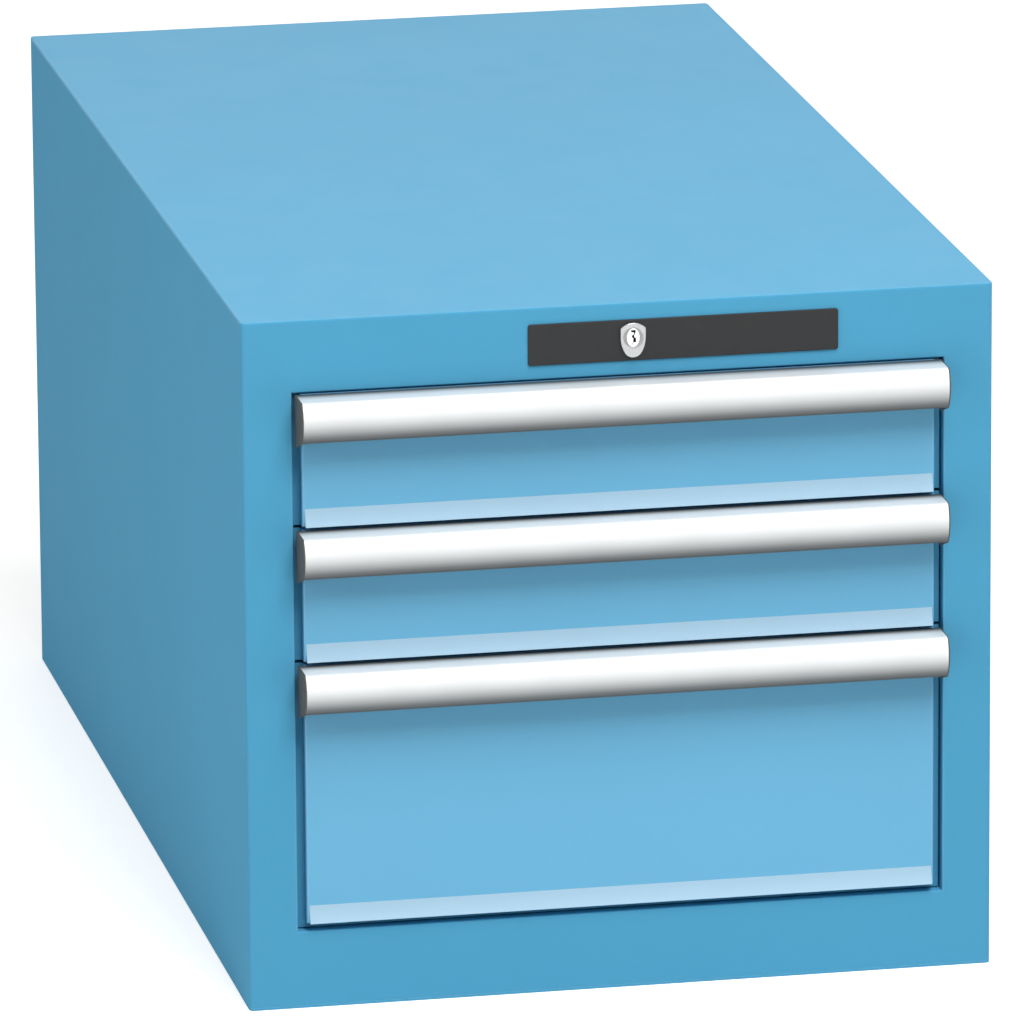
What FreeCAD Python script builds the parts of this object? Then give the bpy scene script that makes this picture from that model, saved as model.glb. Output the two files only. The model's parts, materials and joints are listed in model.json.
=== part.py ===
"""Modular drawer cabinet of sheet steel with three roller-borne drawers and a central lock.

Millimetres. X runs to the right across the front, Y runs to the back, Z points up. The origin is
the centre of the base. Every piece is drawn with Y = 0 at the front face and moved back as a whole.
"""
import FreeCAD, Part
import math
import os
import Sketcher

V = FreeCAD.Vector

doc = FreeCAD.newDocument("drawer_cabinet")

# Driving sizes: alias, value, meaning
SIZES = [
    ("grid_step", 17, "step of the grid that divides a drawer"),
    ("grid_columns", 18, "grid steps across a drawer"),
    ("grid_rows", 36, "grid steps along a drawer"),
    ("upper_module", 75, "height of the top drawer's front"),
    ("middle_module", 75, "height of the middle drawer's front"),
    ("lower_module", 150, "height of the bottom drawer's front"),
    ("lintel_height", 40, "front frame above the drawers"),
    ("sill_height", 43, "front frame below the drawers"),
    ("post_width", 27, "front frame beside the drawers"),
    ("post_return", 20, "depth of the frame edges folded back round the opening"),
    ("post_backing", 21.5, "width of the inner flange of a post"),
    ("lintel_backing", 37, "height of the inner flange of the lintel"),
    ("sill_backing", 23, "height of the inner flange of the sill"),
    ("shell_sheet", 1.5, "sheet of the housing"),
    ("shell_bend", 2.5, "outer radius of the housing's upright bends"),
    ("top_edge_round", 1.2, "rounding of the top panel's rim"),
    ("rear_flange", 15, "width of the side panels' rear flange"),
    ("rear_space", 98, "room between the drawers and the rear face"),
    ("base_hole_radius", 4.5, "floor bolt holes"),
    ("base_hole_across", 330, "floor bolt spacing across"),
    ("base_hole_along", 620, "floor bolt spacing along"),
    ("upright_depth", 28.5, "standing off of the slotted uprights"),
    ("upright_width", 30, "width of an upright"),
    ("upright_sheet", 1.5, "sheet of an upright"),
    ("front_upright_place", 45, "front face to the front uprights"),
    ("rear_upright_place", 590, "front face to the rear uprights"),
    ("slot_pitch", 25, "step of the slots in the uprights"),
    ("hook_width", 5, "hook of a rail, along the cabinet"),
    ("hook_height", 10, "hook of a rail, upwards"),
    ("hook_reach", 3.5, "hook of a rail, past its web"),
    ("hook_play", 0.5, "room round a hook in its slot"),
    ("roller_radius", 9.7, "tread of a roller"),
    ("roller_play", 0.3, "room round a roller"),
    ("roller_end", 20, "roller centre to the end of its track"),
    ("hub_radius", 4, "hub of a roller"),
    ("hub_play", 0.08, "room round the hub"),
    ("slide_setback", 24.5, "front face to the tracks"),
    ("runner_depth", 8, "flange of a drawer's runner"),
    ("rail_depth", 8, "flange of a cabinet rail"),
    ("runner_sheet", 1.2, "sheet of the runner and rail flanges"),
    ("rail_web", 1.5, "web of a cabinet rail"),
    ("carriage_sheet", 2, "strip that carries the rollers"),
    ("carriage_height", 22, "height of that strip"),
    ("carriage_play", 1, "room beside the strip"),
    ("drawer_sheet", 1, "sheet of the drawers"),
    ("drawer_lift", 4, "underside of a drawer above its module line"),
    ("wall_headroom", 11, "room over the drawer walls in their module"),
    ("wall_edge", 5, "folded top edge of the drawer walls"),
    ("end_drop", 6, "front and rear of the tray below the wall tops"),
    ("notch_width", 2, "partition slot in a wall"),
    ("notch_height", 14, "height of a partition slot"),
    ("notch_pitch", 25, "step of the slot rows upwards"),
    ("notch_margin", 8, "runner to the lowest slot row"),
    ("notch_start", 20, "end of a drawer's inside to the nearest partition slot"),
    ("front_depth", 14, "depth of a drawer front"),
    ("front_sheet", 1.2, "sheet of a drawer front"),
    ("panel_side_gap", 5, "reveal beside a front"),
    ("panel_top_gap", 1, "front to the frame or front above it"),
    ("panel_foot_gap", 0.8, "front to its module line"),
    ("lowest_foot_gap", 4.5, "lowest front to the sill"),
    ("rim_setback", 6, "face of a front to its set-back rim"),
    ("rim_gap", 1.0, "set-back rim of a front to the opening"),
    ("window_margin", 10, "drawer box over the rim of the front's rear opening"),
    ("lip_height", 9.7, "flared lip at the foot of a front"),
    ("lip_inset", 1.3, "ends of the lip to the sides of its front"),
    ("lip_foot_inset", 0.3, "foot of the lip to the foot of its front"),
    ("lip_reach", 3.4, "how far the lip stands forward"),
    ("lip_radius", 26, "hollow of the lip"),
    ("handle_reach", 19.6, "handle in front of the front face"),
    ("handle_height", 22.5, "height of the handle's bulged strip"),
    ("handle_undercut", 1.0, "foot of that strip behind its upper edge"),
    ("handle_bulge_radius", 18, "bulge of the strip"),
    ("handle_shoulder_radius", 3, "rounded shoulder of the handle"),
    ("handle_wall", 1.8, "wall of the handle extrusion"),
    ("handle_web", 18, "web that lies on the front"),
    ("handle_side_gap", 1.5, "handle end to the opening"),
    ("cap_thickness", 0.8, "flange of a handle's end cap"),
    ("cap_height", 29, "rear edge of that flange"),
    ("cap_plug_depth", 6, "plug of an end cap, into the handle"),
    ("cap_plug_height", 8, "height of that plug"),
    ("cap_plug_play", 0.2, "room round that plug"),
    ("screw_radius", 1.6, "shank of a handle screw"),
    ("screw_play", 0.1, "room round that shank"),
    ("screw_head_radius", 3, "head of a handle screw"),
    ("screw_head_height", 2, "height of that head"),
    ("screw_spread", 86, "step of the handle screws"),
    ("screw_count", 4, "screws in a handle"),
    ("plate_left", 50.1, "lock plate, centre to its left end"),
    ("plate_right", 119.9, "lock plate, centre to its right end"),
    ("plate_foot", 8, "opening to the lock plate"),
    ("plate_height", 22.6, "height of the lock plate"),
    ("plate_thickness", 1.2, "thickness of the lock plate"),
    ("plate_corner", 1.5, "corner radius of the lock plate"),
    ("lock_across", 6.9, "lock axis right of the centre"),
    ("lock_lift", 21.2, "lock axis above the opening"),
    ("shield_half_width", 6.9, "half width of the lock shield"),
    ("shield_shoulder", 4.6, "shield shoulders above the axis"),
    ("shield_top", 8, "shield top above the axis"),
    ("shield_foot", 11.1, "shield foot below the axis"),
    ("shield_waist", 3, "start of the shield's round foot below the axis"),
    ("shield_arch_radius", 9, "arched head of the shield"),
    ("shield_foot_radius", 7.6, "rounded flanks of the shield's foot"),
    ("shield_thickness", 2, "thickness of the shield"),
    ("barrel_radius", 6.6, "body of the lock cylinder"),
    ("barrel_play", 0.1, "room round that body"),
    ("plug_radius", 5.3, "plug of the lock"),
    ("plug_play", 0.08, "room round the plug"),
    ("ring_radius", 5.9, "ring sunk into the shield"),
    ("ring_depth", 0.4, "depth of that ring"),
    ("key_face_half_width", 3.7, "oval key face of the plug"),
    ("key_face_straight", 2.6, "straight part of the oval"),
    ("key_slot_width", 1.1, "key slot"),
    ("key_slot_step", 1.3, "sideways step of the key slot"),
    ("key_slot_height", 6, "height of the key slot"),
    ("key_slot_depth", 5, "depth of the key slot"),
    ("plug_tail_radius", 3, "tail that carries the cam"),
    ("cam_play", 0.05, "room round that tail"),
    ("cam_sheet", 2, "thickness of the cam"),
    ("cam_hub_radius", 5.4, "hub of the cam"),
    ("crank", 10, "lock axis to the cam's pin"),
    ("crank_pin_radius", 2, "pin of the cam"),
    ("crank_half_turn", 45, "degrees from the crank's middle to either end"),
    ("slider_sheet", 2, "thickness of the sliding link and locking bar"),
    ("slider_gap", 1, "room between the layers of the lock gear"),
    ("slider_left", 15, "sliding link left of the lock axis"),
    ("slider_foot", 1.8, "sliding link above the lock axis"),
    ("slider_height", 13, "height of the sliding link"),
    ("slider_lobe_drop", 13, "how far the link's end reaches down"),
    ("slider_lobe_width", 27, "width of the link's end"),
    ("cam_slot_play", 0.45, "room beside the cam's pin"),
    ("bar_gap", 2.5, "cabinet rails to the locking bar"),
    ("bar_width", 12, "width of the locking bar"),
    ("bar_pin_radius", 2.3, "pin of the locking bar"),
    ("bar_pin_play", 0.4, "room round that pin"),
    ("bar_pin_lift", 8.8, "that pin above the lock axis"),
    ("bar_head", 5, "locking bar above its pin"),
    ("bar_foot", 95, "foot of the locking bar above the base"),
    ("stud_radius", 3, "guide stud"),
    ("stud_play", 0.3, "room round a guide stud"),
    ("stud_collar_radius", 4.5, "collar and head of a stud"),
    ("stud_head_height", 1.2, "head of a stud"),
    ("first_link_stud", 33, "first stud of the link right of the lock axis"),
    ("second_link_stud", 123, "second stud of the link right of the lock axis"),
    ("upper_bar_stud", 300, "upper stud of the bar above the base"),
    ("lower_bar_stud", 150, "lower stud of the bar above the base"),
    ("catch_place", 31, "front face to the drawer catches"),
    ("catch_sheet", 1.5, "thickness of a catch"),
    ("catch_reach", 12, "catch beside the drawer wall"),
    ("catch_foot", 34, "catch above the module line"),
    ("catch_height", 10, "height of a catch"),
    ("lug_overlap", 5, "lug over the catch, sideways"),
    ("lug_height", 6, "height of a lug"),
    ("lug_play", 1, "lug over the catch when the lock is shut"),
]

sheet = doc.addObject("Spreadsheet::Sheet", "Sizes")
for row, (alias, number, meaning) in enumerate(SIZES, start=1):
    sheet.set(f"A{row}", meaning)
    sheet.set(f"B{row}", str(number))
    sheet.setAlias(f"B{row}", alias)
doc.recompute()


class Size:
    """A length that carries both its value and the sheet expression that gives it."""

    def __init__(self, value, text):
        self.value = float(value)
        self.text = text

    def __add__(self, other):
        other = as_size(other)
        return Size(self.value + other.value, f"({self.text} + {other.text})")

    def __sub__(self, other):
        other = as_size(other)
        return Size(self.value - other.value, f"({self.text} - {other.text})")

    def __mul__(self, other):
        other = as_size(other)
        return Size(self.value * other.value, f"({self.text} * {other.text})")

    def __truediv__(self, other):
        other = as_size(other)
        return Size(self.value / other.value, f"({self.text} / {other.text})")

    def __neg__(self):
        return Size(-self.value, f"(0 - {self.text})")

    def __radd__(self, other):
        return as_size(other) + self

    def __rsub__(self, other):
        return as_size(other) - self

    def __rmul__(self, other):
        return as_size(other) * self

    def whole(self):
        """Rounded down to a count."""
        return Size(math.floor(self.value), f"floor({self.text})")


def as_size(number):
    if isinstance(number, Size):
        return number
    return Size(number, f"({number})")


size = {alias: Size(getattr(sheet, alias), f"Sizes.{alias}") for alias, number, meaning in SIZES}


def bind(thing, attribute, length):
    """Ties an object's size to the sheet."""
    thing.setExpression(attribute, as_size(length).text)


# Places shared by several pieces, worked out from the driving sizes
inside_half = size["grid_columns"] * size["grid_step"] / 2
wall_outer = inside_half + size["drawer_sheet"]
runner_tip = wall_outer + size["runner_depth"]
carriage_inner = runner_tip + size["carriage_play"]
carriage_outer = carriage_inner + size["carriage_sheet"]
rail_tip = carriage_outer + size["carriage_play"]
rail_inner = rail_tip + size["rail_depth"]
rail_outer = rail_inner + size["rail_web"]
shell_inner = rail_outer + size["upright_depth"]
shell_outer = shell_inner + size["shell_sheet"]
opening_half = shell_outer - size["post_width"]

drawer_length = size["grid_rows"] * size["grid_step"]
box_front = size["front_depth"]
box_rear = box_front + drawer_length + size["drawer_sheet"]
depth = box_rear + size["rear_space"]
travel = drawer_length
slide_front = size["slide_setback"]
slide_rear = slide_front + travel + 2 * size["roller_end"]

line_bottom = size["sill_height"]
line_middle = line_bottom + size["lower_module"]
line_top = line_middle + size["middle_module"]
opening_top = line_top + size["upper_module"]
height = opening_top + size["lintel_height"]

track_half = size["roller_radius"] + size["roller_play"]
channel_half = track_half + size["runner_sheet"]
runner_centre = size["drawer_lift"] + channel_half
runner_top = runner_centre + channel_half
module_lines = [line_top, line_middle, line_bottom]
module_heights = [size["upper_module"], size["middle_module"], size["lower_module"]]
roller_places = {
    "front": slide_front + size["roller_end"],
    "middle": slide_front + travel / 2 + size["roller_end"],
    "rear": slide_rear - size["roller_end"],
}

lock_height = opening_top + size["lock_lift"]
half_turn = math.radians(size["crank_half_turn"].value)
half_stroke = size["crank"] * Size(math.sin(half_turn), "sin(Sizes.crank_half_turn * 1 deg)")
crank_end_lift = size["crank"] * Size(math.cos(half_turn), "cos(Sizes.crank_half_turn * 1 deg)")
stroke = 2 * half_stroke
cam_front = size["post_return"] + size["slider_gap"] * 2
cam_rear = cam_front + size["cam_sheet"]
link_front = cam_rear + size["slider_gap"]
link_rear = link_front + size["slider_sheet"]
bar_front = link_rear + size["slider_gap"]
bar_rear = bar_front + size["slider_sheet"]
bar_centre = rail_outer + size["bar_gap"] + size["bar_width"] / 2

# Two places this close together count as one
SAME_PLACE = 0.01

nodes = []


def new_body(name):
    body = doc.addObject("PartDesign::Body", name)
    body.Label = name
    bind(body, "Placement.Base.y", -depth / 2)
    nodes.append(body)
    return body


def origin_feature(body, role):
    return next(part for part in body.Origin.OriginFeatures if part.Role == role)


def add_sketch(body, plane, level, loops):
    """A sketch on one of the body's own planes, moved to a level along that plane's axis."""
    sketch = body.newObject("Sketcher::SketchObject", f"{body.Name}_outline")
    sketch.AttachmentSupport = [(origin_feature(body, plane), "")]
    sketch.MapMode = "FlatFace"
    if plane == "XZ_Plane":
        level = -as_size(level)
    bind(sketch, "AttachmentOffset.Base.z", level)
    for loop in loops:
        if isinstance(loop, Disc):
            draw_disc(sketch, loop)
        else:
            draw_outline(sketch, loop)
    return sketch


class Disc:
    """A full circle in a sketch."""

    def __init__(self, across, up, radius):
        self.across = as_size(across)
        self.up = as_size(up)
        self.radius = as_size(radius)


class Bow:
    """A corner that is reached by an arc. A positive turn keeps the centre on the left."""

    def __init__(self, across, up, radius, turn):
        self.across = across
        self.up = up
        self.radius = as_size(radius)
        self.turn = turn


def hold(sketch, kind, geometry, point, length):
    """Places a point at a bound distance from the sketch's origin."""
    constraint = sketch.addConstraint(Sketcher.Constraint(kind, -1, 1, geometry, point, length.value))
    bind(sketch, f"Constraints[{constraint}]", length)


def draw_disc(sketch, disc):
    circle = Part.Circle(V(disc.across.value, disc.up.value, 0), V(0, 0, 1), disc.radius.value)
    geometry = sketch.addGeometry(circle, False)
    hold(sketch, "DistanceX", geometry, 3, disc.across)
    hold(sketch, "DistanceY", geometry, 3, disc.up)
    radius = sketch.addConstraint(Sketcher.Constraint("Radius", geometry, disc.radius.value))
    bind(sketch, f"Constraints[{radius}]", disc.radius)


def arc_between(start, end, radius, turn):
    chord = end - start
    rise = math.sqrt(radius * radius - chord.Length * chord.Length / 4)
    normal = V(-chord.y, chord.x, 0).normalize()
    centre = (start + end) / 2 + normal * rise * turn
    first = start - centre
    last = end - centre
    if turn < 0:
        first, last = last, first
    circle = Part.Circle(centre, V(0, 0, 1), radius)
    return Part.ArcOfCircle(circle, math.atan2(first.y, first.x), math.atan2(last.y, last.x))


def draw_outline(sketch, corners):
    """A closed loop of lines and arcs whose corners are all bound to the sheet."""
    points = []
    for corner in corners:
        if isinstance(corner, Bow):
            points.append((as_size(corner.across), as_size(corner.up)))
        else:
            points.append((as_size(corner[0]), as_size(corner[1])))
    edges = []
    for index, (across, up) in enumerate(points):
        following = (index + 1) % len(points)
        start = V(across.value, up.value, 0)
        end = V(points[following][0].value, points[following][1].value, 0)
        target = corners[following]
        if isinstance(target, Bow):
            arc = arc_between(start, end, target.radius.value, target.turn)
            geometry = sketch.addGeometry(arc, False)
            radius = sketch.addConstraint(Sketcher.Constraint("Radius", geometry, target.radius.value))
            bind(sketch, f"Constraints[{radius}]", target.radius)
            ends = (1, 2) if target.turn > 0 else (2, 1)
        else:
            geometry = sketch.addGeometry(Part.LineSegment(start, end), False)
            ends = (1, 2)
        edges.append((geometry, ends))
    for index, (geometry, ends) in enumerate(edges):
        before, before_ends = edges[index - 1]
        sketch.addConstraint(Sketcher.Constraint("Coincident", before, before_ends[1], geometry, ends[0]))
        hold(sketch, "DistanceX", geometry, ends[0], points[index][0])
        hold(sketch, "DistanceY", geometry, ends[0], points[index][1])


def rectangle(left, bottom, right, top):
    return [(left, bottom), (right, bottom), (right, top), (left, top)]


def sweep(body, kind, plane, start, end, loops):
    """Adds (Pad) or removes (Pocket) a straight prism from one level to another."""
    start = as_size(start)
    end = as_size(end)
    sketch = add_sketch(body, plane, start, loops)
    feature = body.newObject(f"PartDesign::{kind}", f"{body.Name}_{kind.lower()}")
    feature.Profile = sketch
    bind(feature, "Length", end - start)
    runs_forward = plane == "XZ_Plane"
    cuts = kind == "Pocket"
    feature.Reversed = runs_forward != cuts
    body.Tip = feature
    return feature


def pad(body, plane, start, end, *loops):
    return sweep(body, "Pad", plane, start, end, loops)


def pocket(body, plane, start, end, *loops):
    return sweep(body, "Pocket", plane, start, end, loops)


def round_edges(body, radius, chosen):
    """Rounds the edges whose middle passes the given test."""
    doc.recompute()
    base = body.Tip
    names = []
    for number, edge in enumerate(base.Shape.Edges, start=1):
        middle = edge.valueAt((edge.FirstParameter + edge.LastParameter) / 2)
        if chosen(edge, middle):
            names.append(f"Edge{number}")
    if not names:
        raise RuntimeError(f"{body.Label}: no edge to round")
    fillet = body.newObject("PartDesign::Fillet", f"{body.Name}_fillet")
    fillet.Base = (base, names)
    bind(fillet, "Radius", radius)
    body.Tip = fillet
    return fillet


def repeat(body, feature, plane, pitch, count, backwards=False):
    """Copies a feature in a row along the normal of one of the body's planes."""
    doc.recompute()
    pattern = body.newObject("PartDesign::LinearPattern", f"{body.Name}_row")
    pattern.Originals = [feature]
    pattern.Direction = (origin_feature(body, plane), [""])
    pattern.Mode = "Spacing"
    pattern.Reversed = backwards
    bind(pattern, "Offset", pitch)
    bind(pattern, "Occurrences", count)
    body.Tip = pattern
    return pattern


def near(value, target):
    return abs(value - as_size(target).value) < SAME_PLACE


def runs_along(edge, axis):
    """Whether an edge is straight along X, Y or Z."""
    box = edge.BoundBox
    lengths = {"X": box.XLength, "Y": box.YLength, "Z": box.ZLength}
    return all(near(length, 0) for name, length in lengths.items() if name != axis)


# Housing

def side_panel(name, side):
    """One sheet bent into the front post, the side wall and the rear flange."""
    thick = size["shell_sheet"]
    edge = opening_half
    back = size["post_return"]
    outline = [
        (side * shell_outer, 0),
        (side * shell_outer, depth),
        (side * (shell_outer - size["rear_flange"]), depth),
        (side * (shell_outer - size["rear_flange"]), depth - thick),
        (side * shell_inner, depth - thick),
        (side * shell_inner, thick),
        (side * (edge + thick), thick),
        (side * (edge + thick), back - thick),
        (side * (edge + size["post_backing"]), back - thick),
        (side * (edge + size["post_backing"]), back),
        (side * edge, back),
        (side * edge, 0),
    ]
    body = new_body(name)
    pad(body, "XY_Plane", thick, height - thick, outline)
    round_edges(body, size["shell_bend"], lambda edge, middle: (
        runs_along(edge, "Z") and near(abs(middle.x), shell_outer)))


def flat_cover(name, bottom, top):
    """A flat sheet over or under the whole housing, cornered like the side panels."""
    body = new_body(name)
    pad(body, "XY_Plane", bottom, top, rectangle(-shell_outer, 0, shell_outer, depth))
    round_edges(body, size["shell_bend"], lambda edge, middle: runs_along(edge, "Z"))
    return body


def top_panel():
    body = flat_cover("top_panel", height - size["shell_sheet"], height)
    round_edges(body, size["top_edge_round"], lambda edge, middle: near(middle.z, height))


def bottom_panel():
    body = flat_cover("bottom_panel", 0, size["shell_sheet"])
    across = size["base_hole_across"] / 2
    along = size["base_hole_along"] / 2
    holes = []
    for side in (-1, 1):
        for end in (-1, 1):
            holes.append(Disc(side * across, depth / 2 + end * along, size["base_hole_radius"]))
    pocket(body, "XY_Plane", 0, size["shell_sheet"], *holes)


def back_panel():
    thick = size["shell_sheet"]
    body = new_body("back_panel")
    pad(body, "XZ_Plane", depth - 2 * thick, depth - thick,
        rectangle(-shell_inner, thick, shell_inner, height - thick))


def front_top_rail():
    """Lintel: face, folded lower edge and an inner flange that carries the lock gear."""
    thick = size["shell_sheet"]
    back = size["post_return"]
    inner_top = opening_top + size["lintel_backing"]
    body = new_body("front_top_rail")
    pad(body, "YZ_Plane", -opening_half, opening_half, [
        (0, opening_top),
        (back, opening_top),
        (back, inner_top),
        (back - thick, inner_top),
        (back - thick, opening_top + thick),
        (thick, opening_top + thick),
        (thick, height - thick),
        (0, height - thick),
    ])
    hole = Disc(size["lock_across"], lock_height, size["barrel_radius"] + size["barrel_play"])
    pocket(body, "XZ_Plane", 0, back, hole)


def front_bottom_rail():
    """Sill: face, folded upper edge and an inner flange."""
    thick = size["shell_sheet"]
    back = size["post_return"]
    top = size["sill_height"]
    body = new_body("front_bottom_rail")
    pad(body, "YZ_Plane", -opening_half, opening_half, [
        (0, thick),
        (thick, thick),
        (thick, top - thick),
        (back - thick, top - thick),
        (back - thick, top - size["sill_backing"]),
        (back, top - size["sill_backing"]),
        (back, top),
        (0, top),
    ])


def upright(name, side, place):
    """A slotted channel welded to the side wall, on which the rails hang."""
    thick = size["upright_sheet"]
    front = place
    rear = place + size["upright_width"]
    body = new_body(name)
    pad(body, "XY_Plane", size["shell_sheet"], opening_top, [
        (side * rail_outer, front),
        (side * shell_inner, front),
        (side * shell_inner, front + thick),
        (side * (rail_outer + thick), front + thick),
        (side * (rail_outer + thick), rear - thick),
        (side * shell_inner, rear - thick),
        (side * shell_inner, rear),
        (side * rail_outer, rear),
    ])
    middle = place + size["upright_width"] / 2
    half_width = size["hook_width"] / 2 + size["hook_play"]
    half_height = size["hook_height"] / 2 + size["hook_play"]
    lowest = line_bottom + runner_centre
    first = side * rail_outer
    last = side * (rail_outer + thick)
    if side < 0:
        first, last = last, first
    slot = pocket(body, "YZ_Plane", first, last, rectangle(
        middle - half_width, lowest - half_height, middle + half_width, lowest + half_height))
    room = opening_top - lowest - half_height
    repeat(body, slot, "XY_Plane", size["slot_pitch"], (room / size["slot_pitch"]).whole() + 1)


def cabinet_rail(name, side, line):
    """A channel that opens towards the drawer and hangs on the uprights by two hooks."""
    low = line + runner_centre - channel_half
    top = line + runner_centre + channel_half
    thick = size["runner_sheet"]
    body = new_body(name)
    pad(body, "XZ_Plane", slide_front, slide_rear, [
        (side * rail_tip, low),
        (side * rail_outer, low),
        (side * rail_outer, top),
        (side * rail_tip, top),
        (side * rail_tip, top - thick),
        (side * rail_inner, top - thick),
        (side * rail_inner, low + thick),
        (side * rail_tip, low + thick),
    ])
    centre = line + runner_centre
    for place in (size["front_upright_place"], size["rear_upright_place"]):
        middle = place + size["upright_width"] / 2
        pad(body, "XZ_Plane", middle - size["hook_width"] / 2, middle + size["hook_width"] / 2, rectangle(
            side * (rail_outer - size["rail_web"] / 2), centre - size["hook_height"] / 2,
            side * (rail_outer + size["hook_reach"]), centre + size["hook_height"] / 2))


# Central lock

def lock_plate():
    bottom = opening_top + size["plate_foot"]
    top = bottom + size["plate_height"]
    body = new_body("lock_plate")
    pad(body, "XZ_Plane", -size["plate_thickness"], 0,
        rectangle(-size["plate_left"], bottom, size["plate_right"], top))
    round_edges(body, size["plate_corner"], lambda edge, middle: runs_along(edge, "Y"))
    hole = Disc(size["lock_across"], lock_height, size["barrel_radius"] + size["barrel_play"])
    pocket(body, "XZ_Plane", -size["plate_thickness"], 0, hole)


def lock_cylinder():
    """Shield-shaped cover with the barrel behind it."""
    axis = size["lock_across"]
    half = size["shield_half_width"]
    face = -size["plate_thickness"] - size["shield_thickness"]
    shoulder = lock_height + size["shield_shoulder"]
    waist = lock_height - size["shield_waist"]
    body = new_body("lock_cylinder")
    pad(body, "XZ_Plane", face, -size["plate_thickness"], [
        (axis + half, shoulder),
        Bow(axis, lock_height + size["shield_top"], size["shield_arch_radius"], 1),
        Bow(axis - half, shoulder, size["shield_arch_radius"], 1),
        (axis - half, waist),
        Bow(axis, lock_height - size["shield_foot"], size["shield_foot_radius"], 1),
        Bow(axis + half, waist, size["shield_foot_radius"], 1),
    ])
    pad(body, "XZ_Plane", -size["plate_thickness"], size["post_return"] + size["slider_gap"],
        Disc(axis, lock_height, size["barrel_radius"]))
    pocket(body, "XZ_Plane", face, face + size["ring_depth"],
           Disc(axis, lock_height, size["ring_radius"]))
    pocket(body, "XZ_Plane", face + size["ring_depth"], size["post_return"] + size["slider_gap"],
           Disc(axis, lock_height, size["plug_radius"] + size["plug_play"]))


def lock_plug():
    """Plug with an oval key face, a stepped key slot and the tail behind."""
    axis = size["lock_across"]
    face = -size["plate_thickness"] - size["shield_thickness"]
    front = face + size["ring_depth"]
    half = size["key_face_half_width"]
    straight = size["key_face_straight"] / 2
    body = new_body("lock_plug")
    pad(body, "XZ_Plane", front, cam_front - size["slider_gap"],
        Disc(axis, lock_height, size["plug_radius"]))
    pad(body, "XZ_Plane", cam_front - size["slider_gap"], cam_rear + size["slider_gap"] / 2,
        Disc(axis, lock_height, size["plug_tail_radius"]))
    pad(body, "XZ_Plane", face, front,
        standing_capsule(axis, lock_height - straight, half, 2 * straight))
    slot = size["key_slot_width"]
    step = size["key_slot_step"]
    reach = size["key_slot_height"] / 2
    pocket(body, "XZ_Plane", face, face + size["key_slot_depth"], [
        (axis, lock_height - reach),
        (axis + slot, lock_height - reach),
        (axis + slot, lock_height + slot / 2),
        (axis + slot - step, lock_height + slot / 2),
        (axis + slot - step, lock_height + reach),
        (axis - step, lock_height + reach),
        (axis - step, lock_height - slot / 2),
        (axis, lock_height - slot / 2),
    ])


def lock_cam():
    """Crank on the plug's tail, turned back by half its swing at rest."""
    arm = size["crank"]
    hub = size["cam_hub_radius"]
    tip = size["crank_pin_radius"] * 2
    body = new_body("lock_cam")
    bind(body, "Placement.Base.x", size["lock_across"])
    bind(body, "Placement.Base.z", lock_height)
    body.Placement.Rotation = FreeCAD.Rotation(V(0, 1, 0), -size["crank_half_turn"].value)
    bind(body, "Placement.Rotation.Angle", size["crank_half_turn"] * -1)
    pad(body, "XZ_Plane", cam_front, cam_rear,
        Disc(0, 0, hub))
    pad(body, "XZ_Plane", cam_front, cam_rear, [
        (-tip, 0),
        (tip, 0),
        (tip, arm),
        Bow(0, arm + tip, tip, 1),
        Bow(-tip, arm, tip, 1),
    ])
    pad(body, "XZ_Plane", cam_rear, link_rear + size["slider_gap"] / 2,
        Disc(0, arm, size["crank_pin_radius"]))
    pocket(body, "XZ_Plane", cam_front, cam_rear,
           Disc(0, 0, size["plug_tail_radius"] + size["cam_play"]))


def capsule(across, up, half_width, run):
    """A round-ended slot that runs sideways from a point, by a signed distance."""
    far = across + run
    return [
        (across, up - half_width),
        Bow(across + half_width, up, half_width, 1),
        Bow(across, up + half_width, half_width, 1),
        (far, up + half_width),
        Bow(far - half_width, up, half_width, 1),
        Bow(far, up - half_width, half_width, 1),
    ]


def standing_capsule(across, up, half_width, run):
    """A round-ended slot that runs upwards from a point."""
    top = up + run
    return [
        Bow(across + half_width, up, half_width, 1),
        (across + half_width, top),
        Bow(across, top + half_width, half_width, 1),
        Bow(across - half_width, top, half_width, 1),
        (across - half_width, up),
        Bow(across, up - half_width, half_width, 1),
    ]


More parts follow.
